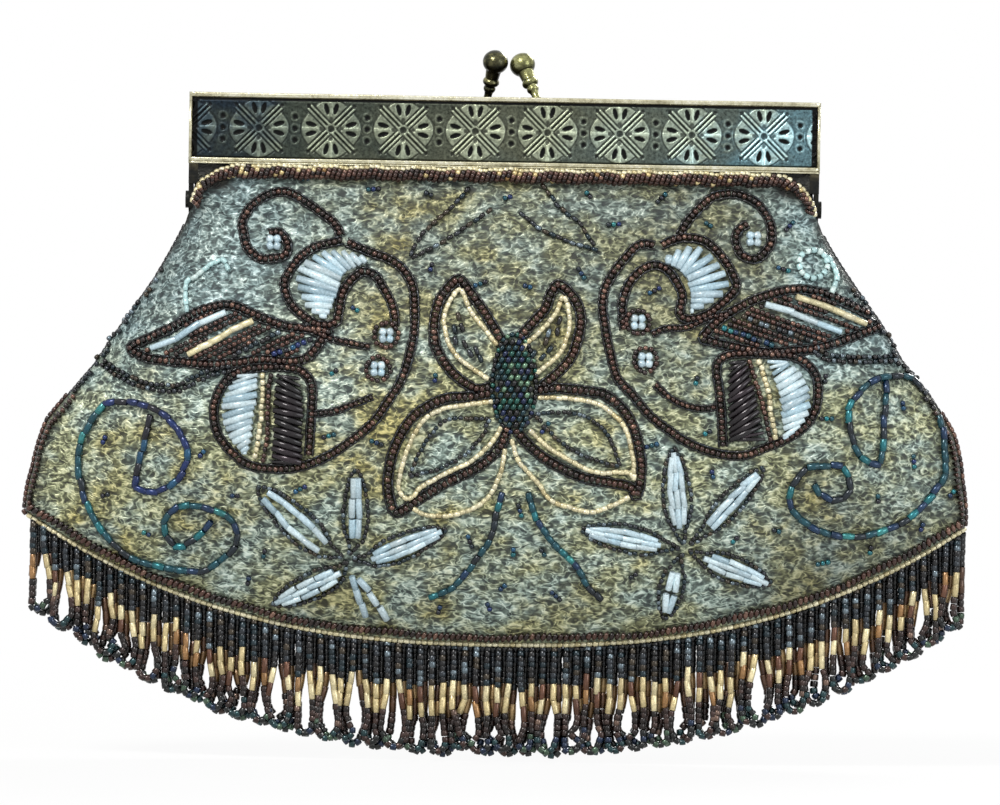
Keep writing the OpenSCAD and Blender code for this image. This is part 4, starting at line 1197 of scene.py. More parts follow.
def star_white(beads):
    for tips, wide in ((LEFT_STAR_TIPS, LEFT_WIDE), (RIGHT_STAR_TIPS, RIGHT_WIDE)):
        for base, tip, width in petals(tips, wide):
            spread = 2.0 if width > HOLLOW_W else 0.85 if width < NARROW_W else 1.5
            full = NARROW_W <= width <= HOLLOW_W
            for sign in (-1, 0, 1) if full else (-1, 1):
                trim = 0.12 if sign else 0.06
                row(beads, petal_side(base, tip, spread, sign, trim, 1 - trim), "white",
                    length=4.4, across=1.6 if full else 1.8, jitter=0.05, blunt=0.65)
    for line in LEFT_FORK:
        row(beads, line, "white", length=3.6, across=1.9, blunt=0.65)


def star_edge(tips, wide, heart):
    """Dark beads round each petal, drawn in towards the heart."""
    def fill(beads):
        for base, tip, width in petals(tips, wide):
            reach = base + (np.array(heart) - base) * 0.75
            for sign in (-1, 1):
                line = [reach.tolist()] + petal_side(base, tip, width / 2 + 0.7, sign, 0.05, 1)
                row(beads, line, "dark", across=1.2)
    return fill


BODY_HALF = (4.9, 11.6)
BODY_RING = (5.5, 12.3)
BODY_LEAN = np.array([0.5, 0.866])


def butterfly_body(beads):
    """Close rows of beads over an egg-shaped swell, with one row round it."""
    x0, down0 = BODY_CENTRE
    over = np.array([BODY_LEAN[1], -BODY_LEAN[0]])
    for n in range(-7, 8):
        for k in range(-9, 10):
            off = over * n * 1.42 + BODY_LEAN * (k * 1.72 + 0.86 * (n % 2))
            deep = (off[0] / BODY_HALF[0]) ** 2 + (off[1] / BODY_HALF[1]) ** 2
            if deep > 1:
                continue
            at = np.array([[x0 + off[0], Z_TOP - down0 + off[1]]])
            lift = 0.4 + 1.5 * math.sqrt(max(0.05, 1.05 - deep))
            beads.add(on_cloth(at, lift), upright(BODY_LEAN[None]), "body", 1.75, 1.42)
    row(beads, oval(x0, down0, *BODY_RING, 59), "body", closed=True)


UPPER_DASHES = [
    [(-11.2, 54.5), (-9.6, 60)], [(-12.2, 57.5), (-11.4, 63.5)], [(-9.8, 61.5), (-7.2, 66.5)],
    [(-6.8, 63), (-4.6, 67.5)], [(14.8, 55), (14, 61)], [(12.4, 58.5), (10.8, 63)],
    [(13.2, 62.5), (9.6, 67)], [(8.6, 64), (7, 67.5)],
]


def butterfly_wings(beads):
    for line in (UPPER_LEFT_BAND, UPPER_RIGHT_BAND, LOWER_LEFT_BAND, LOWER_RIGHT_BAND):
        ribs(beads, line, 2.7, 1.45)
    for line in (LOWER_LEFT_INNER, LOWER_LEFT_INNER_B, LOWER_RIGHT_INNER, LOWER_RIGHT_INNER_B):
        row(beads, line, "dark", across=1.3)
    for line in UPPER_DASHES:
        row(beads, line, "dark", length=2.4, across=1.4)


def butterfly_gold(beads):
    for line in (UPPER_LEFT_GOLD, UPPER_RIGHT_GOLD, LOWER_LEFT_GOLD, LOWER_RIGHT_GOLD,
                 GOLD_DROP_A, GOLD_DROP_B):
        row(beads, line, "pale", length=1.5, across=1.35, jitter=0.06, blunt=0.45)


def stems(beads):
    for line in (SPRIG_A, SPRIG_B, SPRIG_C, SPRIG_D):
        row(beads, line, "dark", length=1.9, across=1.25)
    for line in (STEM_A, STEM_B):
        row(beads, line, "teal", length=2.4, across=1.85, blunt=0.5)


def accents(beads):
    """Single beads scattered over the cloth in twos and threes."""
    for x, down in ACCENTS:
        turn = beads.rng.uniform(0, np.pi)
        count = 2 if beads.rng.random() < 0.7 else 3
        way = np.array([math.cos(turn), math.sin(turn)])
        for k in range(count):
            at = np.array([[x, Z_TOP - down]]) + way * (k - (count - 1) / 2) * 1.3
            _, axes = lying(at, way, 0.55)
            beads.add(on_cloth(at, 0.55), axes, "ink" if beads.rng.random() < 0.4 else "teal")


LEFT_SCROLL = scroll((LEFT_CURL, LEFT_CRESCENT_LINE, LEFT_STEM), (LEFT_LINK, LEFT_SHORT), CLUSTERS_LEFT)
RIGHT_SCROLL = scroll((RIGHT_CURL, RIGHT_CRESCENT_LINE, RIGHT_STEM), (RIGHT_LINK, RIGHT_SHORT),
                      CLUSTERS_RIGHT)
LEFT_STAR = star_edge(LEFT_STAR_TIPS, LEFT_WIDE, LEFT_HEART)
RIGHT_STAR = star_edge(RIGHT_STAR_TIPS, RIGHT_WIDE, RIGHT_HEART)


def embroider():
    stitched("left_scroll_beads", "left_scroll", 11, LEFT_SCROLL)
    stitched("right_scroll_beads", "right_scroll", 12, RIGHT_SCROLL)
    stitched("left_wing_beads", "left_wing", 13, wing(LEFT_WING_LINE))
    stitched("right_wing_beads", "right_wing", 14, wing(RIGHT_WING_LINE))
    stitched("wing_row_beads", "wing_rows", 15, wing_rows)
    stitched("crescent_satin", "crescent_beads", 16, crescents)
    stitched("left_moon_beads", "left_moon", 17, left_moon)
    stitched("right_moon_beads", "right_moon", 18, right_moon)
    stitched("moon_line_beads", "moon_lines", 19, moon_lines)
    stitched("left_vine_beads", "left_vine", 20, left_vine)
    stitched("right_vine_beads", "right_vine", 21, right_vine)
    stitched("left_star_beads", "left_star", 22, LEFT_STAR)
    stitched("right_star_beads", "right_star", 23, RIGHT_STAR)
    stitched("star_white_beads", "star_beads", 24, star_white)
    stitched("butterfly_body_beads", "butterfly_body", 25, butterfly_body)
    stitched("butterfly_wing_beads", "butterfly_wings", 26, butterfly_wings)
    stitched("butterfly_gold_beads", "butterfly_gold", 27, butterfly_gold)
    stitched("stem_beads", "stems", 28, stems)
    stitched("accent_beads", None, 29, accents)


# Trim round the bag

def hem_z(x):
    """Height of the hem."""
    return Z_CORNER - HEM_SAG * (1 - np.minimum(np.abs(x) / (BAG_W / 2), 1) ** HEM_POWER)


def round_bag(v_start):
    """(x, z) from the top of the left side down, along the hem and up the right side."""
    v = np.linspace(v_start, 1, 60)
    down = np.stack([-width_at(v), height_of(-1, v)], 1)
    u = np.linspace(-1, 1, 200)[1:-1]
    hem = np.stack([u * width_at(1), height_of(u, 1)], 1)
    line = resample(np.concatenate([down, hem, down[::-1] * [-1, 1]]), 1600)
    line[:, 0] += pull(line[:, 0], line[:, 1])
    return line


def inward(line, way, far):
    return line + left_of(way) * np.reshape(far, (-1, 1))


SEAM_TOP = 90
SPECKLED_TOP = 122
SEAM_PITCH = 1.45
SEAM_IN = 1.8


def seam(side):
    """A rope of brown beads round the hem, thinning up the sides into dark beads."""
    beads = Beads(31 if side < 0 else 32)
    at, way, share = spaced(round_bag(0.02), SEAM_PITCH)
    at = inward(at, way, SEAM_IN)
    steep = smooth((np.abs(way[:, 1]) - 0.5) / 0.4)
    wide = 2.6 - 0.9 * steep
    sway = 0.22 * np.sin(share * 61) + 0.16 * np.sin(share * 147)
    at = inward(at, way, sway - 0.45 * steep)
    low = at[:, 1] < SEAM_TOP
    centres, axes = lying(at, unit(left_of(way) + way * 0.45), 0.75, side)
    beads.add(centres[low], axes[low], "brown", wide[low] * 1.05, 1.5, 0.7)
    high = ~low & (at[:, 1] < SPECKLED_TOP)
    spot = inward(at, way, beads.rng.normal(-0.5, 0.4, len(at)))
    high &= beads.rng.random(len(at)) < 0.85
    axes = upright(way)
    axes = axes + beads.rng.normal(0, 0.4, axes.shape)
    beads.add(on_cloth(spot, 0.55, side)[high], axes[high], "dark", 1.4, 1.4)
    name = half_name(side)
    piece = beads.make(name + "_seam_beads")
    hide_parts(name + "_seam_rope")
    return piece


EDGE_PITCH = 1.5
HEM_ROW_Y = 0.72


def edge_beads():
    """The row on the very edge: dark up the sides, very dark high up as painted shade on the cloth's edge,
    a fine gold line under the hem.
    """
    beads = Beads(33)
    at, way, _ = spaced(round_bag(0.03), EDGE_PITCH)
    hem = np.abs(way[:, 0]) > 0.7
    low = ~hem & (at[:, 1] < SEAM_TOP)
    high = ~hem & ~low
    axes = upright(way)
    # Which beads, their kind, how far out, how thick, and how far behind the middle
    rows = (
        (hem, "pale", 0.42, 1.4, -HEM_ROW_Y),
        (hem, "pale", 0.42, 1.4, HEM_ROW_Y),
        (low, "brown", 0.35, 1.4, 0),
        (high, "black", 0.0, 1.05, 0),
    )
    for pick, kind, out, across, rear in rows:
        points = upright(inward(at, way, -out))
        points[:, 1] = rear
        beads.add(points[pick], axes[pick], kind, 1.54, across, FOLD, 0.4)
    piece = beads.make("edge_beads")
    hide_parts("edge_line")
    return piece


ROPE_PATH = [(0, 19.65), (30, 19.65), (60, 19.65), (66, 19.7), (69.5, 20), (72, 20.6), (74.5, 21.8),
             (76.3, 23.6), (77.5, 26), (78.2, 28.6)]
# Rows round the rope: angle in degrees up from its front, and colour
ROPE_TURNS = [(-84, "brown"), (-52, "brown"), (-20, "brown"), (12, "brown"), (50, "pale")]
ROPE_PITCH = 1.3
ROPE_Y = 6.2
ROPE_R = 1.5


def top_rope(side):
    """Beads wrapped slantwise over a cord below the band, with a pale row along its upper side."""
    beads = Beads(34 if side < 0 else 35)
    half = flat_line(ROPE_PATH)
    line = resample(np.concatenate([half[::-1][:-1] * [-1, 1], half]), 900)
    at, way, share = spaced(line, ROPE_PITCH)
    over = left_of(way)
    count = len(at)
    out = np.abs(at[:, 0])
    mid_y = ROPE_Y - 1.5 * smooth((Z_TOP - 24 - at[:, 1]) / 5)
    r = ROPE_R - 0.55 * smooth((out - 66) / 10)
    wobble = 0.2 * np.sin(share * 90) + 0.14 * np.sin(share * 211 + 1)
    bare = (beads.rng.random(count) < 0.25) & (out > 60) & (out < 73)
    for turn, kind in ROPE_TURNS:
        a = math.radians(turn)
        lift = math.sin(a) * r + wobble
        points = upright(at + over * lift[:, None] + way * (turn / 110))
        points[:, 1] = side * (mid_y + math.cos(a) * r)
        if kind == "pale":
            axes = upright(way)
            beads.add(points[~bare], axes[~bare], "pale", 1.45, 1.35)
            beads.add(points[bare], axes[bare], "brown", 1.3, 1.4)
            continue
        axes = upright(over * math.cos(a) + way * 0.55)
        axes[:, 1] = -side * math.sin(a)
        # More gold beads in the upper brown row than in the lower ones: a painted highlight along the
        # rope's upper side
        gold = beads.rng.random(count) < (0.12 if turn > 0 else 0.02)
        beads.add(points[gold], axes[gold], "gold", 1.3, 1.36)
        beads.add(points[~gold], axes[~gold], "brown", 1.3, 1.36)
    name = half_name(side)
    piece = beads.make(name + "_top_rope_beads")
    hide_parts(name + "_top_rope")
    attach(piece, name + "_half")


# Fringe

FRINGE_HALF = BAG_W / 2 - FRINGE_INSET
SECTION_W = 2 * FRINGE_HALF / SECTIONS
EDGE_DEPTH = EDGE_LINE_D + TRIM_CLEAR + HEADER_DROP


def header_z(n, t):
    """Height of a section's straight hinge line, t along it from 0 to 1."""
    x0 = -FRINGE_HALF + (n - 1) * SECTION_W
    x1 = x0 + SECTION_W
    mid = (x0 + x1) / 2
    steep = HEM_POWER * (2 * abs(mid) / BAG_W) ** (HEM_POWER - 1)
    slope = math.copysign(1, mid) * HEM_SAG * steep * 2 / BAG_W
    drop = EDGE_DEPTH * math.hypot(1, slope) + (hem_z(x0) + hem_z(x1)) / 2 - hem_z(mid)
    return hem_z(x0) * (1 - t) + hem_z(x1) * t - drop


def fringe_len(x):
    """Length of the loops, longest in the middle."""
    return FRINGE_DROP - (FRINGE_DROP - FRINGE_END_DROP) * (2 * x / BAG_W) ** 2


LOOPS = 6
HEADERS = 24
OPENINGS = 5
STRAND_STEPS = 14
LONG_BEAD = 3.4
# Where the colours change, as shares of the way down
BANDS = [0.38, 0.66, 0.88]
# How far behind the middle a layer hangs, its shift, half a loop, its colours downwards, bead width. The
# back layer's darker colours are painted shade
FRINGE_LAYERS = [
    (1.1, 0.75, 1.38, ["black", "amber", "umber", "chain"], 2.15),
    (-1, -0.65, 1.42, ["dark", "bar", "umber", "chain"], 1.8),
]
# The first section's first openings: how far from its end, from and to which share down, half width
FIRST_OPENINGS = [(3.2, 0.2, 0.94, 2.6), (8.8, 0.3, 0.94, 1.7)]


def strand_top(x):
    """Where the strands come out of the hem, which turns up a little at its corners."""
    return hem_z(x) - 0.9 + 1.2 * smooth((np.abs(x) - 68) / 50)


def parted(x, home, share, gaps):
    """Strands stand aside round the open places between them, each on the side it hangs from."""
    for at, high, low, wide in gaps:
        open_now = smooth((share - high) / (0.8 * (low - high))) * smooth((low - share) / 0.07)
        side = np.clip((home - at) / 0.4, -1, 1)
        off = side * (x - at)
        clear = np.maximum(off, 0)
        x = x + side * open_now * (clear - off + wide * np.exp(-clear / (1.5 * wide + 0.4)))
    return x


def hanging_loop(beads, middle, half, reach, wide, twist, layer, kinds, thick, gaps, limits):
    """One loop of beads: two strands down from the hem and round at the bottom."""
    rng = beads.rng
    top = float(strand_top(middle))
    low = float(hem_z(middle)) - reach
    belly = low + min(wide, 2.4) * 1.1
    phase = rng.uniform(-0.25, 0.25)
    lean = rng.normal(0, 0.35)

    def strand(sign, s):
        turn = phase * s + twist * np.pi * smooth((s - 0.5) / 0.5)
        grow = half + (wide - half) * smooth((s - 0.55) / 0.45)
        x = middle + lean * s + sign * grow * np.cos(turn)
        sway = 0.25 * s * np.sin(3 * s + middle)
        y = layer * smooth(s / 0.14 + 0.1) + sign * 0.75 * np.sin(turn) + sway
        start = float(strand_top(middle + sign * half))
        return np.stack([x, y, start + (belly - start) * s], 1)

    s = np.linspace(0, 1, STRAND_STEPS)
    left = strand(-1, s)
    right = strand(1, s)
    t = np.linspace(0, np.pi, 9)[1:-1]
    cosine = (np.cos(t) + 1)[:, None] / 2
    bottom = left[-1] * cosine + right[-1] * (1 - cosine)
    bottom[:, 2] -= np.sin(t) * (belly - low)
    points = np.concatenate([left, bottom, right[::-1]])
    share = (top - points[:, 2]) / (top - low)
    ends = np.full(STRAND_STEPS, 1)
    home = middle + half * np.concatenate([-ends, 1 - 2 * cosine[:, 0], ends])
    points[:, 0] = np.clip(parted(points[:, 0], home, share, gaps), *limits)
    line = dense(points)
    share = (top - line[:, 2]) / (top - low) + np.where(line[:, 0] < middle, *rng.normal(0, 0.045, 2))
    band = np.searchsorted(BANDS, share)
    cuts = np.flatnonzero(np.diff(band)) + 1
    for run in np.split(np.arange(len(line)), cuts):
        if len(run) < 3:
            continue
        kind = kinds[band[run[0]]]
        long = LONG_BEAD if kind in ("bar", "amber") else rng.uniform(1.3, 1.46)
        at, way, _ = spaced(line[run], long)
        full = np.linalg.norm(line[run[-1]] - line[run[0]]) + 0.3
        if band[run[0]] < 2:
            long = full / len(at)
        at = at + rng.normal(0, 0.05, at.shape)
        beads.add(at, way, kind, long * 1.13, 1.65 if kind == "bar" else thick, FOLD, 0.75)


def openings(rng, n, x0):
    """Open places between a section's strands: where, from and to which share down, half width."""
    gaps = []
    for k in range(OPENINGS):
        at = x0 + (k + rng.uniform(0.25, 0.75)) * SECTION_W / OPENINGS
        high = rng.choice([0.28, 0.45, 0.62, 0.7])
        gaps.append((at, high, rng.uniform(0.88, 0.94), 2.3 - 1.1 * high + rng.uniform(-0.2, 0.4)))
    if n == 1:
        for k, (off, *rest) in enumerate(FIRST_OPENINGS):
            gaps[k] = (x0 + off, *rest)
    return gaps


def fringe(n):
    """One section: a row of very dark beads along its header, painted shade under the hem, and two layers
    of loops below it.
    """
    beads = Beads(40 + n)
    rng = beads.rng
    x0 = -FRINGE_HALF + (n - 1) * SECTION_W
    x1 = x0 + SECTION_W
    x = x0 + (np.arange(HEADERS) + 0.5) / HEADERS * SECTION_W
    head = np.stack([x, np.full(HEADERS, 0.75), strand_top(x) - 1], 1)
    slope = (header_z(n, 1) - header_z(n, 0)) / SECTION_W
    beads.add(head, np.tile([[1, 0, slope]], (HEADERS, 1)), "black", 1.35, 1.4)
    gaps = openings(rng, n, x0)
    for layer, shift, half, kinds, thick in FRINGE_LAYERS:
        for k in range(LOOPS):
            middle = x0 + (k + 0.5) * SECTION_W / LOOPS + shift
            reach = fringe_len(middle) * rng.uniform(0.93, 0.99) - 0.4
            wide = rng.uniform(1.5, 2.6)
            twist = rng.choice([0, 0, 0, 1])
            near = min(abs(middle - at) for at, *_ in gaps)
            if near < 3.4:
                twist = 0
            if near < 2:
                wide = 2.2
                reach = fringe_len(middle) * rng.uniform(0.96, 1.0) - 0.4
            hanging_loop(beads, middle, half, reach, wide, twist, layer + rng.normal(0, 0.08), kinds,
                         thick, gaps, (x0 + 0.9, x1 - 0.9))
    piece = beads.make("fringe_beads_%d" % n)
    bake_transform(piece)
    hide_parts("fringe_%d" % n)


# Metal

def ridge(d, half):
    """A round-topped rise of height 1 about d = 0."""
    return np.clip(1 - (np.abs(d) / half) ** 2, 0, 1)


FLOWER_SHIFT = 1.7
FLOWER_R = 7.3
HUB_R = 1.15
SPOKE_AT = 5.05
DOT_R = 0.78
DOT_APART = 2.95
GAP_EDGE = 1.25


def plate_relief(x, z):
    """Height of the pressed band and how hollow it is, at x along and z up from its middle."""
    x = x - FLOWER_SHIFT
    k = np.round(x / ROSETTE_PITCH - 0.5) + 0.5
    dx = x - k * ROSETTE_PITCH
    r = np.hypot(dx, z)
    rim = FLOWER_R + 0.35 * np.cos(4 * np.arctan2(z, dx))
    flower = smooth((rim - r) / 0.35)
    height = 0.5 * flower * smooth((r - 1.6) / 0.6)
    hollow = 0.35 * smooth((0.3 - np.abs(r - rim - 0.1)) / 0.2)
    # Four fans: a rib down the middle of each, a slot on both sides of it and a dot at its foot
    for way in (0, np.pi / 2, np.pi, 3 * np.pi / 2):
        along = dx * np.cos(way) + z * np.sin(way)
        off = np.abs(-dx * np.sin(way) + z * np.cos(way))
        here = along > off
        rib = flower * smooth((along - 2.9) / 0.4) * ridge(off, 0.28 + 0.1 * (along - 2.9).clip(0))
        height = np.where(here, np.maximum(height, rib), height)
        slot_w = 0.3 + 0.055 * along.clip(0)
        far = np.hypot((along - SPOKE_AT) / 1.38, (off - 0.22 * along - 0.06) / slot_w)
        hollow = np.where(here, np.maximum(hollow, smooth((1.12 - far) / 0.25)), hollow)
        dot = 0.5 * smooth((0.7 - np.hypot(along - 2.5, off)) / 0.3)
        hollow = np.where(here, np.maximum(hollow, dot), hollow)
    # The gaps between the fans, with a double ridge in each
    reach = smooth((8.1 - r) / 0.5) * smooth((r - 1.0) / 0.4)
    for way in (np.pi / 4, 3 * np.pi / 4):
        off = np.abs(dx * np.sin(way) - z * np.cos(way))
        beside = reach * smooth((GAP_EDGE - off) / 0.2)
        height = height * (1 - beside) + beside * ridge(off - 0.52, 0.36)
        hollow = hollow * (1 - beside)
        hollow = np.maximum(hollow, 0.7 * reach * smooth((0.3 - off) / 0.16))
        hollow = np.maximum(hollow, 0.6 * reach * smooth((0.22 - np.abs(off - 1.08)) / 0.14))
        ends = np.hypot(np.abs(dx * np.cos(way) + z * np.sin(way)) - 8.2, off)
        hollow = np.maximum(hollow, 0.8 * smooth((0.62 - ends) / 0.25))
    height = np.maximum(height, 0.7 * ridge(r - HUB_R, 0.4))
    hollow = np.maximum(hollow, 0.6 * smooth((0.95 - r) / 0.3))
    # Three dots between one flower and the next
    ex = ROSETTE_PITCH / 2 - np.abs(dx)
    for up in (-DOT_APART, 0, DOT_APART):
        hollow = np.maximum(hollow, smooth((DOT_R - np.hypot(ex, z - up)) / 0.3))
        height = np.maximum(height, 0.25 * ridge(np.hypot(ex, z - up) - 1.05, 0.35))
    # Very dark along the top and bottom edges: painted shade in the grooves by the rails
    hollow = np.maximum(hollow, smooth((z - 6.75) / 0.2))
    hollow = np.maximum(hollow, 0.7 * smooth((-7.25 - z) / 0.15))
    return height * (1 - hollow), hollow


PLATE_HALF_W = 79.2
PLATE_HALF_H = 7.65
PLATE_STEP = 0.2
PLATE_EDGE = 77.7


def band_plate(side):
    """The pressed and pierced plate in the band of one half."""
    z_mid = (Z_TOP - TOP_RAIL_H + Z_BAND + LOW_RAIL_H) / 2
    x, z = np.meshgrid(np.arange(-PLATE_HALF_W, PLATE_HALF_W + 0.01, PLATE_STEP),
                       np.arange(-PLATE_HALF_H, PLATE_HALF_H + 0.01, PLATE_STEP))
    if side > 0:
        x = x[:, ::-1]
    rise, hollow = plate_relief(x, z)
    soft = 0.02 * np.sin(0.21 * x + 2) + 0.015 * np.sin(0.9 * x) * np.sin(0.7 * z)
    out = WALL_IN + SHEET + PLATE_CLEAR + 0.32 + 0.3 * rise ** 0.8 - 0.3 * hollow + soft
    face = np.stack([x, side * out, z + z_mid], -1)
    rear = np.stack([x, np.full_like(x, side * (WALL_IN + SHEET + 0.02)), z + z_mid], -1)
    name = half_name(side)
    piece = closed_sheet(name + "_band_plate", face, rear)
    zero = np.zeros(x.size)
    # Share of the way along the plate, which places its painted reflection
    along = (x / (2 * PLATE_HALF_W) + 0.5) - 0.05 * z / PLATE_HALF_H
    edge = smooth((np.abs(x) - PLATE_EDGE) / 0.3)
    float_attribute(piece, "along", np.concatenate([along.ravel(), along.ravel()]))
    float_attribute(piece, "rise", np.concatenate([rise.ravel(), zero]))
    float_attribute(piece, "hollow", np.concatenate([np.maximum(hollow, edge).ravel(), zero]))
    wear_look(piece, PLATE)
    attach(piece, name + "_half")
    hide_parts(name + "_filigree")


def tube(name, points, sides, material):
    """A closed piece from rings of points, one after the other, with flat ends."""
    rows = len(points) // sides
    i, j = np.meshgrid(np.arange(rows - 1) * sides, np.arange(sides), indexing="ij")
    nj = (j + 1) % sides
    faces = np.stack([i + j, i + nj, i + sides + nj, i + sides + j], -1).reshape(-1, 4).tolist()
    faces.append(list(range(sides))[::-1])
    faces.append([(rows - 1) * sides + k for k in range(sides)])
    piece = make_mesh(name, points, faces)
    wear_look(piece, material)
    return piece


def revolve(name, profile, matrix, material, turns=48):
    """A turned piece: (radius, height) points smoothed and carried by a matrix, in millimetres."""
    p = dense(profile, step=0.12)
    p[:, 0] = np.maximum(p[:, 0], 0)
    angle = np.arange(turns) * 2 * np.pi / turns
    points = np.stack([
        p[:, :1] * np.cos(angle), p[:, :1] * np.sin(angle),
        np.broadcast_to(p[:, 1:2], (len(p), turns)),
    ], -1).reshape(-1, 3)
    m = np.array(matrix)
    return tube(name, points @ m[:3, :3].T + m[:3, 3], turns, material)


# The post below its ball: radius in millimetres and share of the height
POST_FOOT = [(1.15, 0), (1.05, 0.5)]
POST_PROFILE = [(1, 0.1), (1.02, 0.16), (1.15, 0.21), (1.42, 0.25), (1.55, 0.29), (1.5, 0.33),
                (1.38, 0.355), (1.5, 0.38), (1.85, 0.41), (2.08, 0.45), (2.1, 0.49), (1.95, 0.53),
                (1.72, 0.56), (1.75, 0.585)]
POST_SUNK = 0.3


def lock_post(side):
    """A turned post with collars and a ball, which leans out and along from its foot."""
    name = half_name(side)
    sign = -side
    lean, rise = FRONT_POST if side < 0 else BACK_POST
    ball_x = LOCK_X + sign * (BALL_D + BALL_GAP) / 2
    lean_y = HALF_DEPTH / 2 + BALL_CROSS
    tall = math.sqrt(lean ** 2 + lean_y ** 2 + rise ** 2)
    foot = Vector((ball_x + sign * lean, -sign * HALF_DEPTH / 2, Z_TOP))
    turn = math.atan2(sign * lean_y, -sign * lean)
    matrix = (Matrix.Translation(foot) @ Matrix.Rotation(turn, 4, "Z")
              @ Matrix.Rotation(math.acos(rise / tall), 4, "Y")
              @ Matrix.Translation((0, 0, -POST_SUNK)))
    ball = [((BALL_D / 2 + 0.1) * math.sin(a), tall - (BALL_D / 2 - 0.15) * math.cos(a))
            for a in np.linspace(0.66, np.pi - 0.02, 18)]
    profile = POST_FOOT + [(r, tall * share) for r, share in POST_PROFILE] + ball
    piece = revolve(name + "_post", profile, matrix, LIT_POST if side < 0 else SHADED_POST)
    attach(piece, name + "_half")
    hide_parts(name + "_lock_post")


BAR_SIDES = 16


def squared(turn, power):
    """Cosine and sine of a round that is squared off by a power below 1."""
    c = np.cos(turn)
    s = np.sin(turn)
    return np.copysign(np.abs(c) ** power, c), np.copysign(np.abs(s) ** power, s)


def metal_bar(name, half, points):
    """A rounded bead of bright metal on one half of the frame."""
    piece = tube(name, np.asarray(points), BAR_SIDES, BRIGHT)
    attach(piece, half)


def rail(name, half, half_w, y, half_y, z, half_z):
    """Along the band, a little uneven in height."""
    c, s = squared(np.arange(BAR_SIDES) * 2 * np.pi / BAR_SIDES, 0.7)
    metal_bar(name, half, [
        (x, y + half_y * cy, z + half_z * cz + 0.03 * math.sin(0.13 * x))
        for x in np.linspace(-half_w, half_w, 120) for cy, cz in zip(c, s)
    ])


def stile(name, half, x, half_x, y, half_y):
    """Up one end of the band."""
    c, s = squared(np.arange(BAR_SIDES) * 2 * np.pi / BAR_SIDES, 0.6)
    metal_bar(name, half, [
        (x + half_x * cx, y + half_y * cy, z)
        for z in (Z_BAND + 0.5, Z_TOP - 0.6) for cx, cy in zip(c, s)
    ])


BAR_Y = 6.32
BAR_HALF_Y = 0.3
STILE_W = 0.7
FRAME_NODES = ("front_frame", "back_frame", "left_hinge_pin", "right_hinge_pin", "front_clamp_strip",
               "back_clamp_strip")


def metal():
    for side in (-1, 1):
        band_plate(side)
        lock_post(side)
        name = half_name(side)
        half = name + "_half"
        half_w = FRAME_W / 2 + 0.05
        y = side * BAR_Y
        # Height of the middle and half the thickness of each rail
        for part, z, half_z in (("top", Z_TOP - TOP_RAIL_H / 2 + 0.02, 0.56),
                                ("low", Z_BAND + 1.05, 0.52), ("lip", Z_BAND + 0.22, 0.26)):
            rail(name + "_" + part + "_rail", half, half_w, y, BAR_HALF_Y, z, half_z)
        for end, part in ((-1, "left"), (1, "right")):
            stile(name + "_" + part + "_rail", half, end * (half_w - STILE_W / 2), STILE_W / 2, y,
                  BAR_HALF_Y)
    for node in FRAME_NODES:
        wear_look(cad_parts[node], ANTIQUE)


# Stage and light

def new_tree(data):
    data.use_nodes = True
    data.node_tree.nodes.clear()
    return data.node_tree


WHITE = (1, 1, 1, 1)
FLOOR_Z = -1.2
FLOOR_REACH = 3000


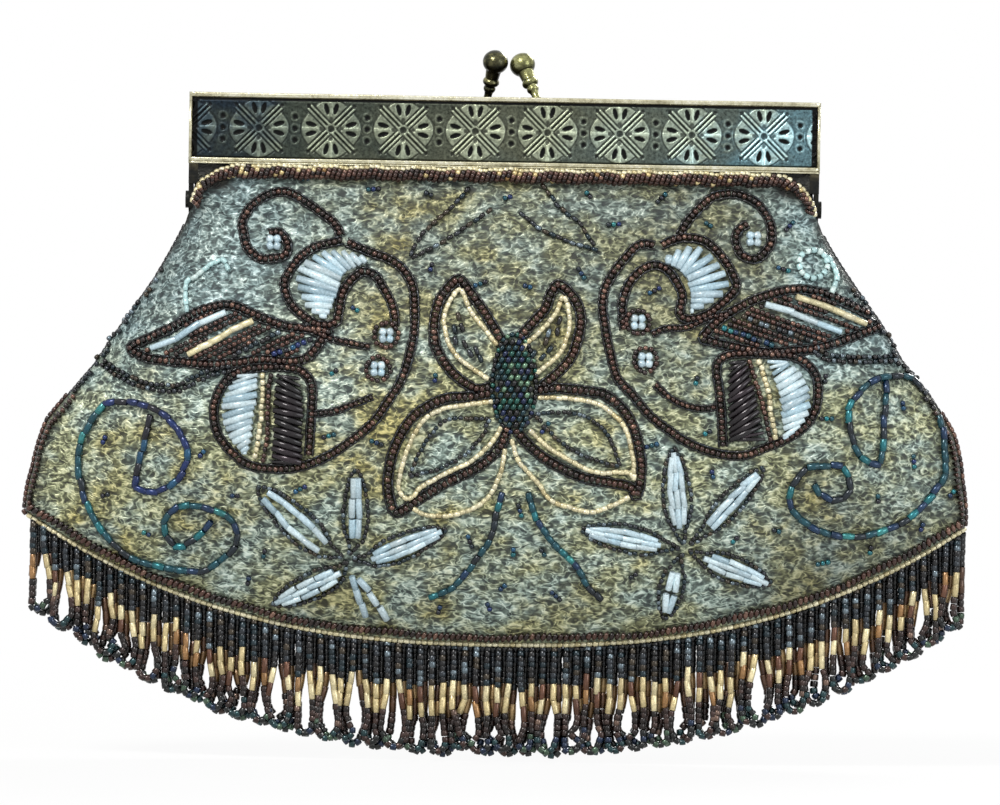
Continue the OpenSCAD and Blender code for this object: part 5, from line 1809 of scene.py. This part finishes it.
def stage():
    """Pale paper that the camera sees as white, darker where the bag throws its shadow."""
    paper = bpy.data.materials.new("paper")
    tree = new_tree(paper)
    grain = add_node(tree, "TexNoise", {"Scale": 60}).outputs["Fac"]
    tone = add_node(tree, "MapRange", {"Value": grain, "To Min": 0.8, "To Max": 0.86}).outputs[0]
    dull = add_node(tree, "BsdfDiffuse", {"Color": tone}).outputs[0]
    glow = add_node(tree, "Emission", {"Color": WHITE}).outputs[0]
    place = add_node(tree, "TexCoord").outputs["Object"]
    far = add_node(tree, "VectorMath", {0: place}, operation="LENGTH").outputs["Value"]
    fade = add_node(tree, "MapRange", {"Value": far, "From Min": 0.2, "From Max": 0.7,
                                       "To Min": 0.9, "To Max": 1}).outputs[0]
    seen = add_node(tree, "LightPath").outputs["Is Camera Ray"]
    share = add_node(tree, "Math", {0: seen, 1: fade}, operation="MULTIPLY").outputs[0]
    mixed = add_node(tree, "MixShader", {0: share, 1: dull, 2: glow}).outputs[0]
    add_node(tree, "OutputMaterial", {0: mixed})
    corners = [(x * FLOOR_REACH, y * FLOOR_REACH, FLOOR_Z)
               for x, y in ((-1, -1), (1, -1), (1, 1), (-1, 1))]
    floor = make_mesh("floor", corners, [(0, 1, 2, 3)])
    floor.data.materials.append(paper)


def studio():
    """A dim even light all round, and white where a camera ray, a reflection or glass sees it."""
    world = bpy.data.worlds.new("studio")
    bpy.context.scene.world = world
    tree = new_tree(world)
    soft = add_node(tree, "Background", {"Color": (0.95, 0.97, 1, 1), "Strength": 0.42}).outputs[0]
    white = add_node(tree, "Background", {"Color": WHITE, "Strength": 1}).outputs[0]
    rays = add_node(tree, "LightPath").outputs
    either = add_node(tree, "Math", {0: rays["Is Camera Ray"], 1: rays["Is Transmission Ray"]},
                      operation="MAXIMUM").outputs[0]
    seen = add_node(tree, "Math", {0: either, 1: rays["Is Glossy Ray"]}, operation="MAXIMUM").outputs[0]
    mixed = add_node(tree, "MixShader", {0: seen, 1: soft, 2: white}).outputs[0]
    add_node(tree, "OutputWorld", {0: mixed})


def lamp(name, place, size, power, tone):
    """An area lamp that looks at the middle of the bag."""
    data = bpy.data.lights.new(name, "AREA")
    data.shape = "RECTANGLE"
    data.size, data.size_y = size
    data.energy = power
    data.color = tone
    piece = bpy.data.objects.new(name, data)
    bpy.context.scene.collection.objects.link(piece)
    here = Vector(place)
    aim = Vector((0, 0, 0.09)) - here
    piece.matrix_world = Matrix.Translation(here) @ aim.to_track_quat("-Z", "Y").to_matrix().to_4x4()


stage()
studio()
lamp("key", (-0.45, -0.9, 1.0), (0.45, 0.3), 13, (1, 0.98, 0.95))
lamp("fill", (0.9, -0.8, 0.35), (0.6, 0.6), 4.5, (0.95, 0.98, 1))
lamp("back_key", (0.6, 1.0, 0.8), (0.6, 0.4), 12, (1, 0.99, 0.97))

metal()
for side in (-1, 1):
    for piece in (skin(side), lining(side)):
        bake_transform(piece)
    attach(seam(side), "pouch")
    top_rope(side)
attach(edge_beads(), "pouch")
embroider()
for n in range(1, SECTIONS + 1):
    fringe(n)
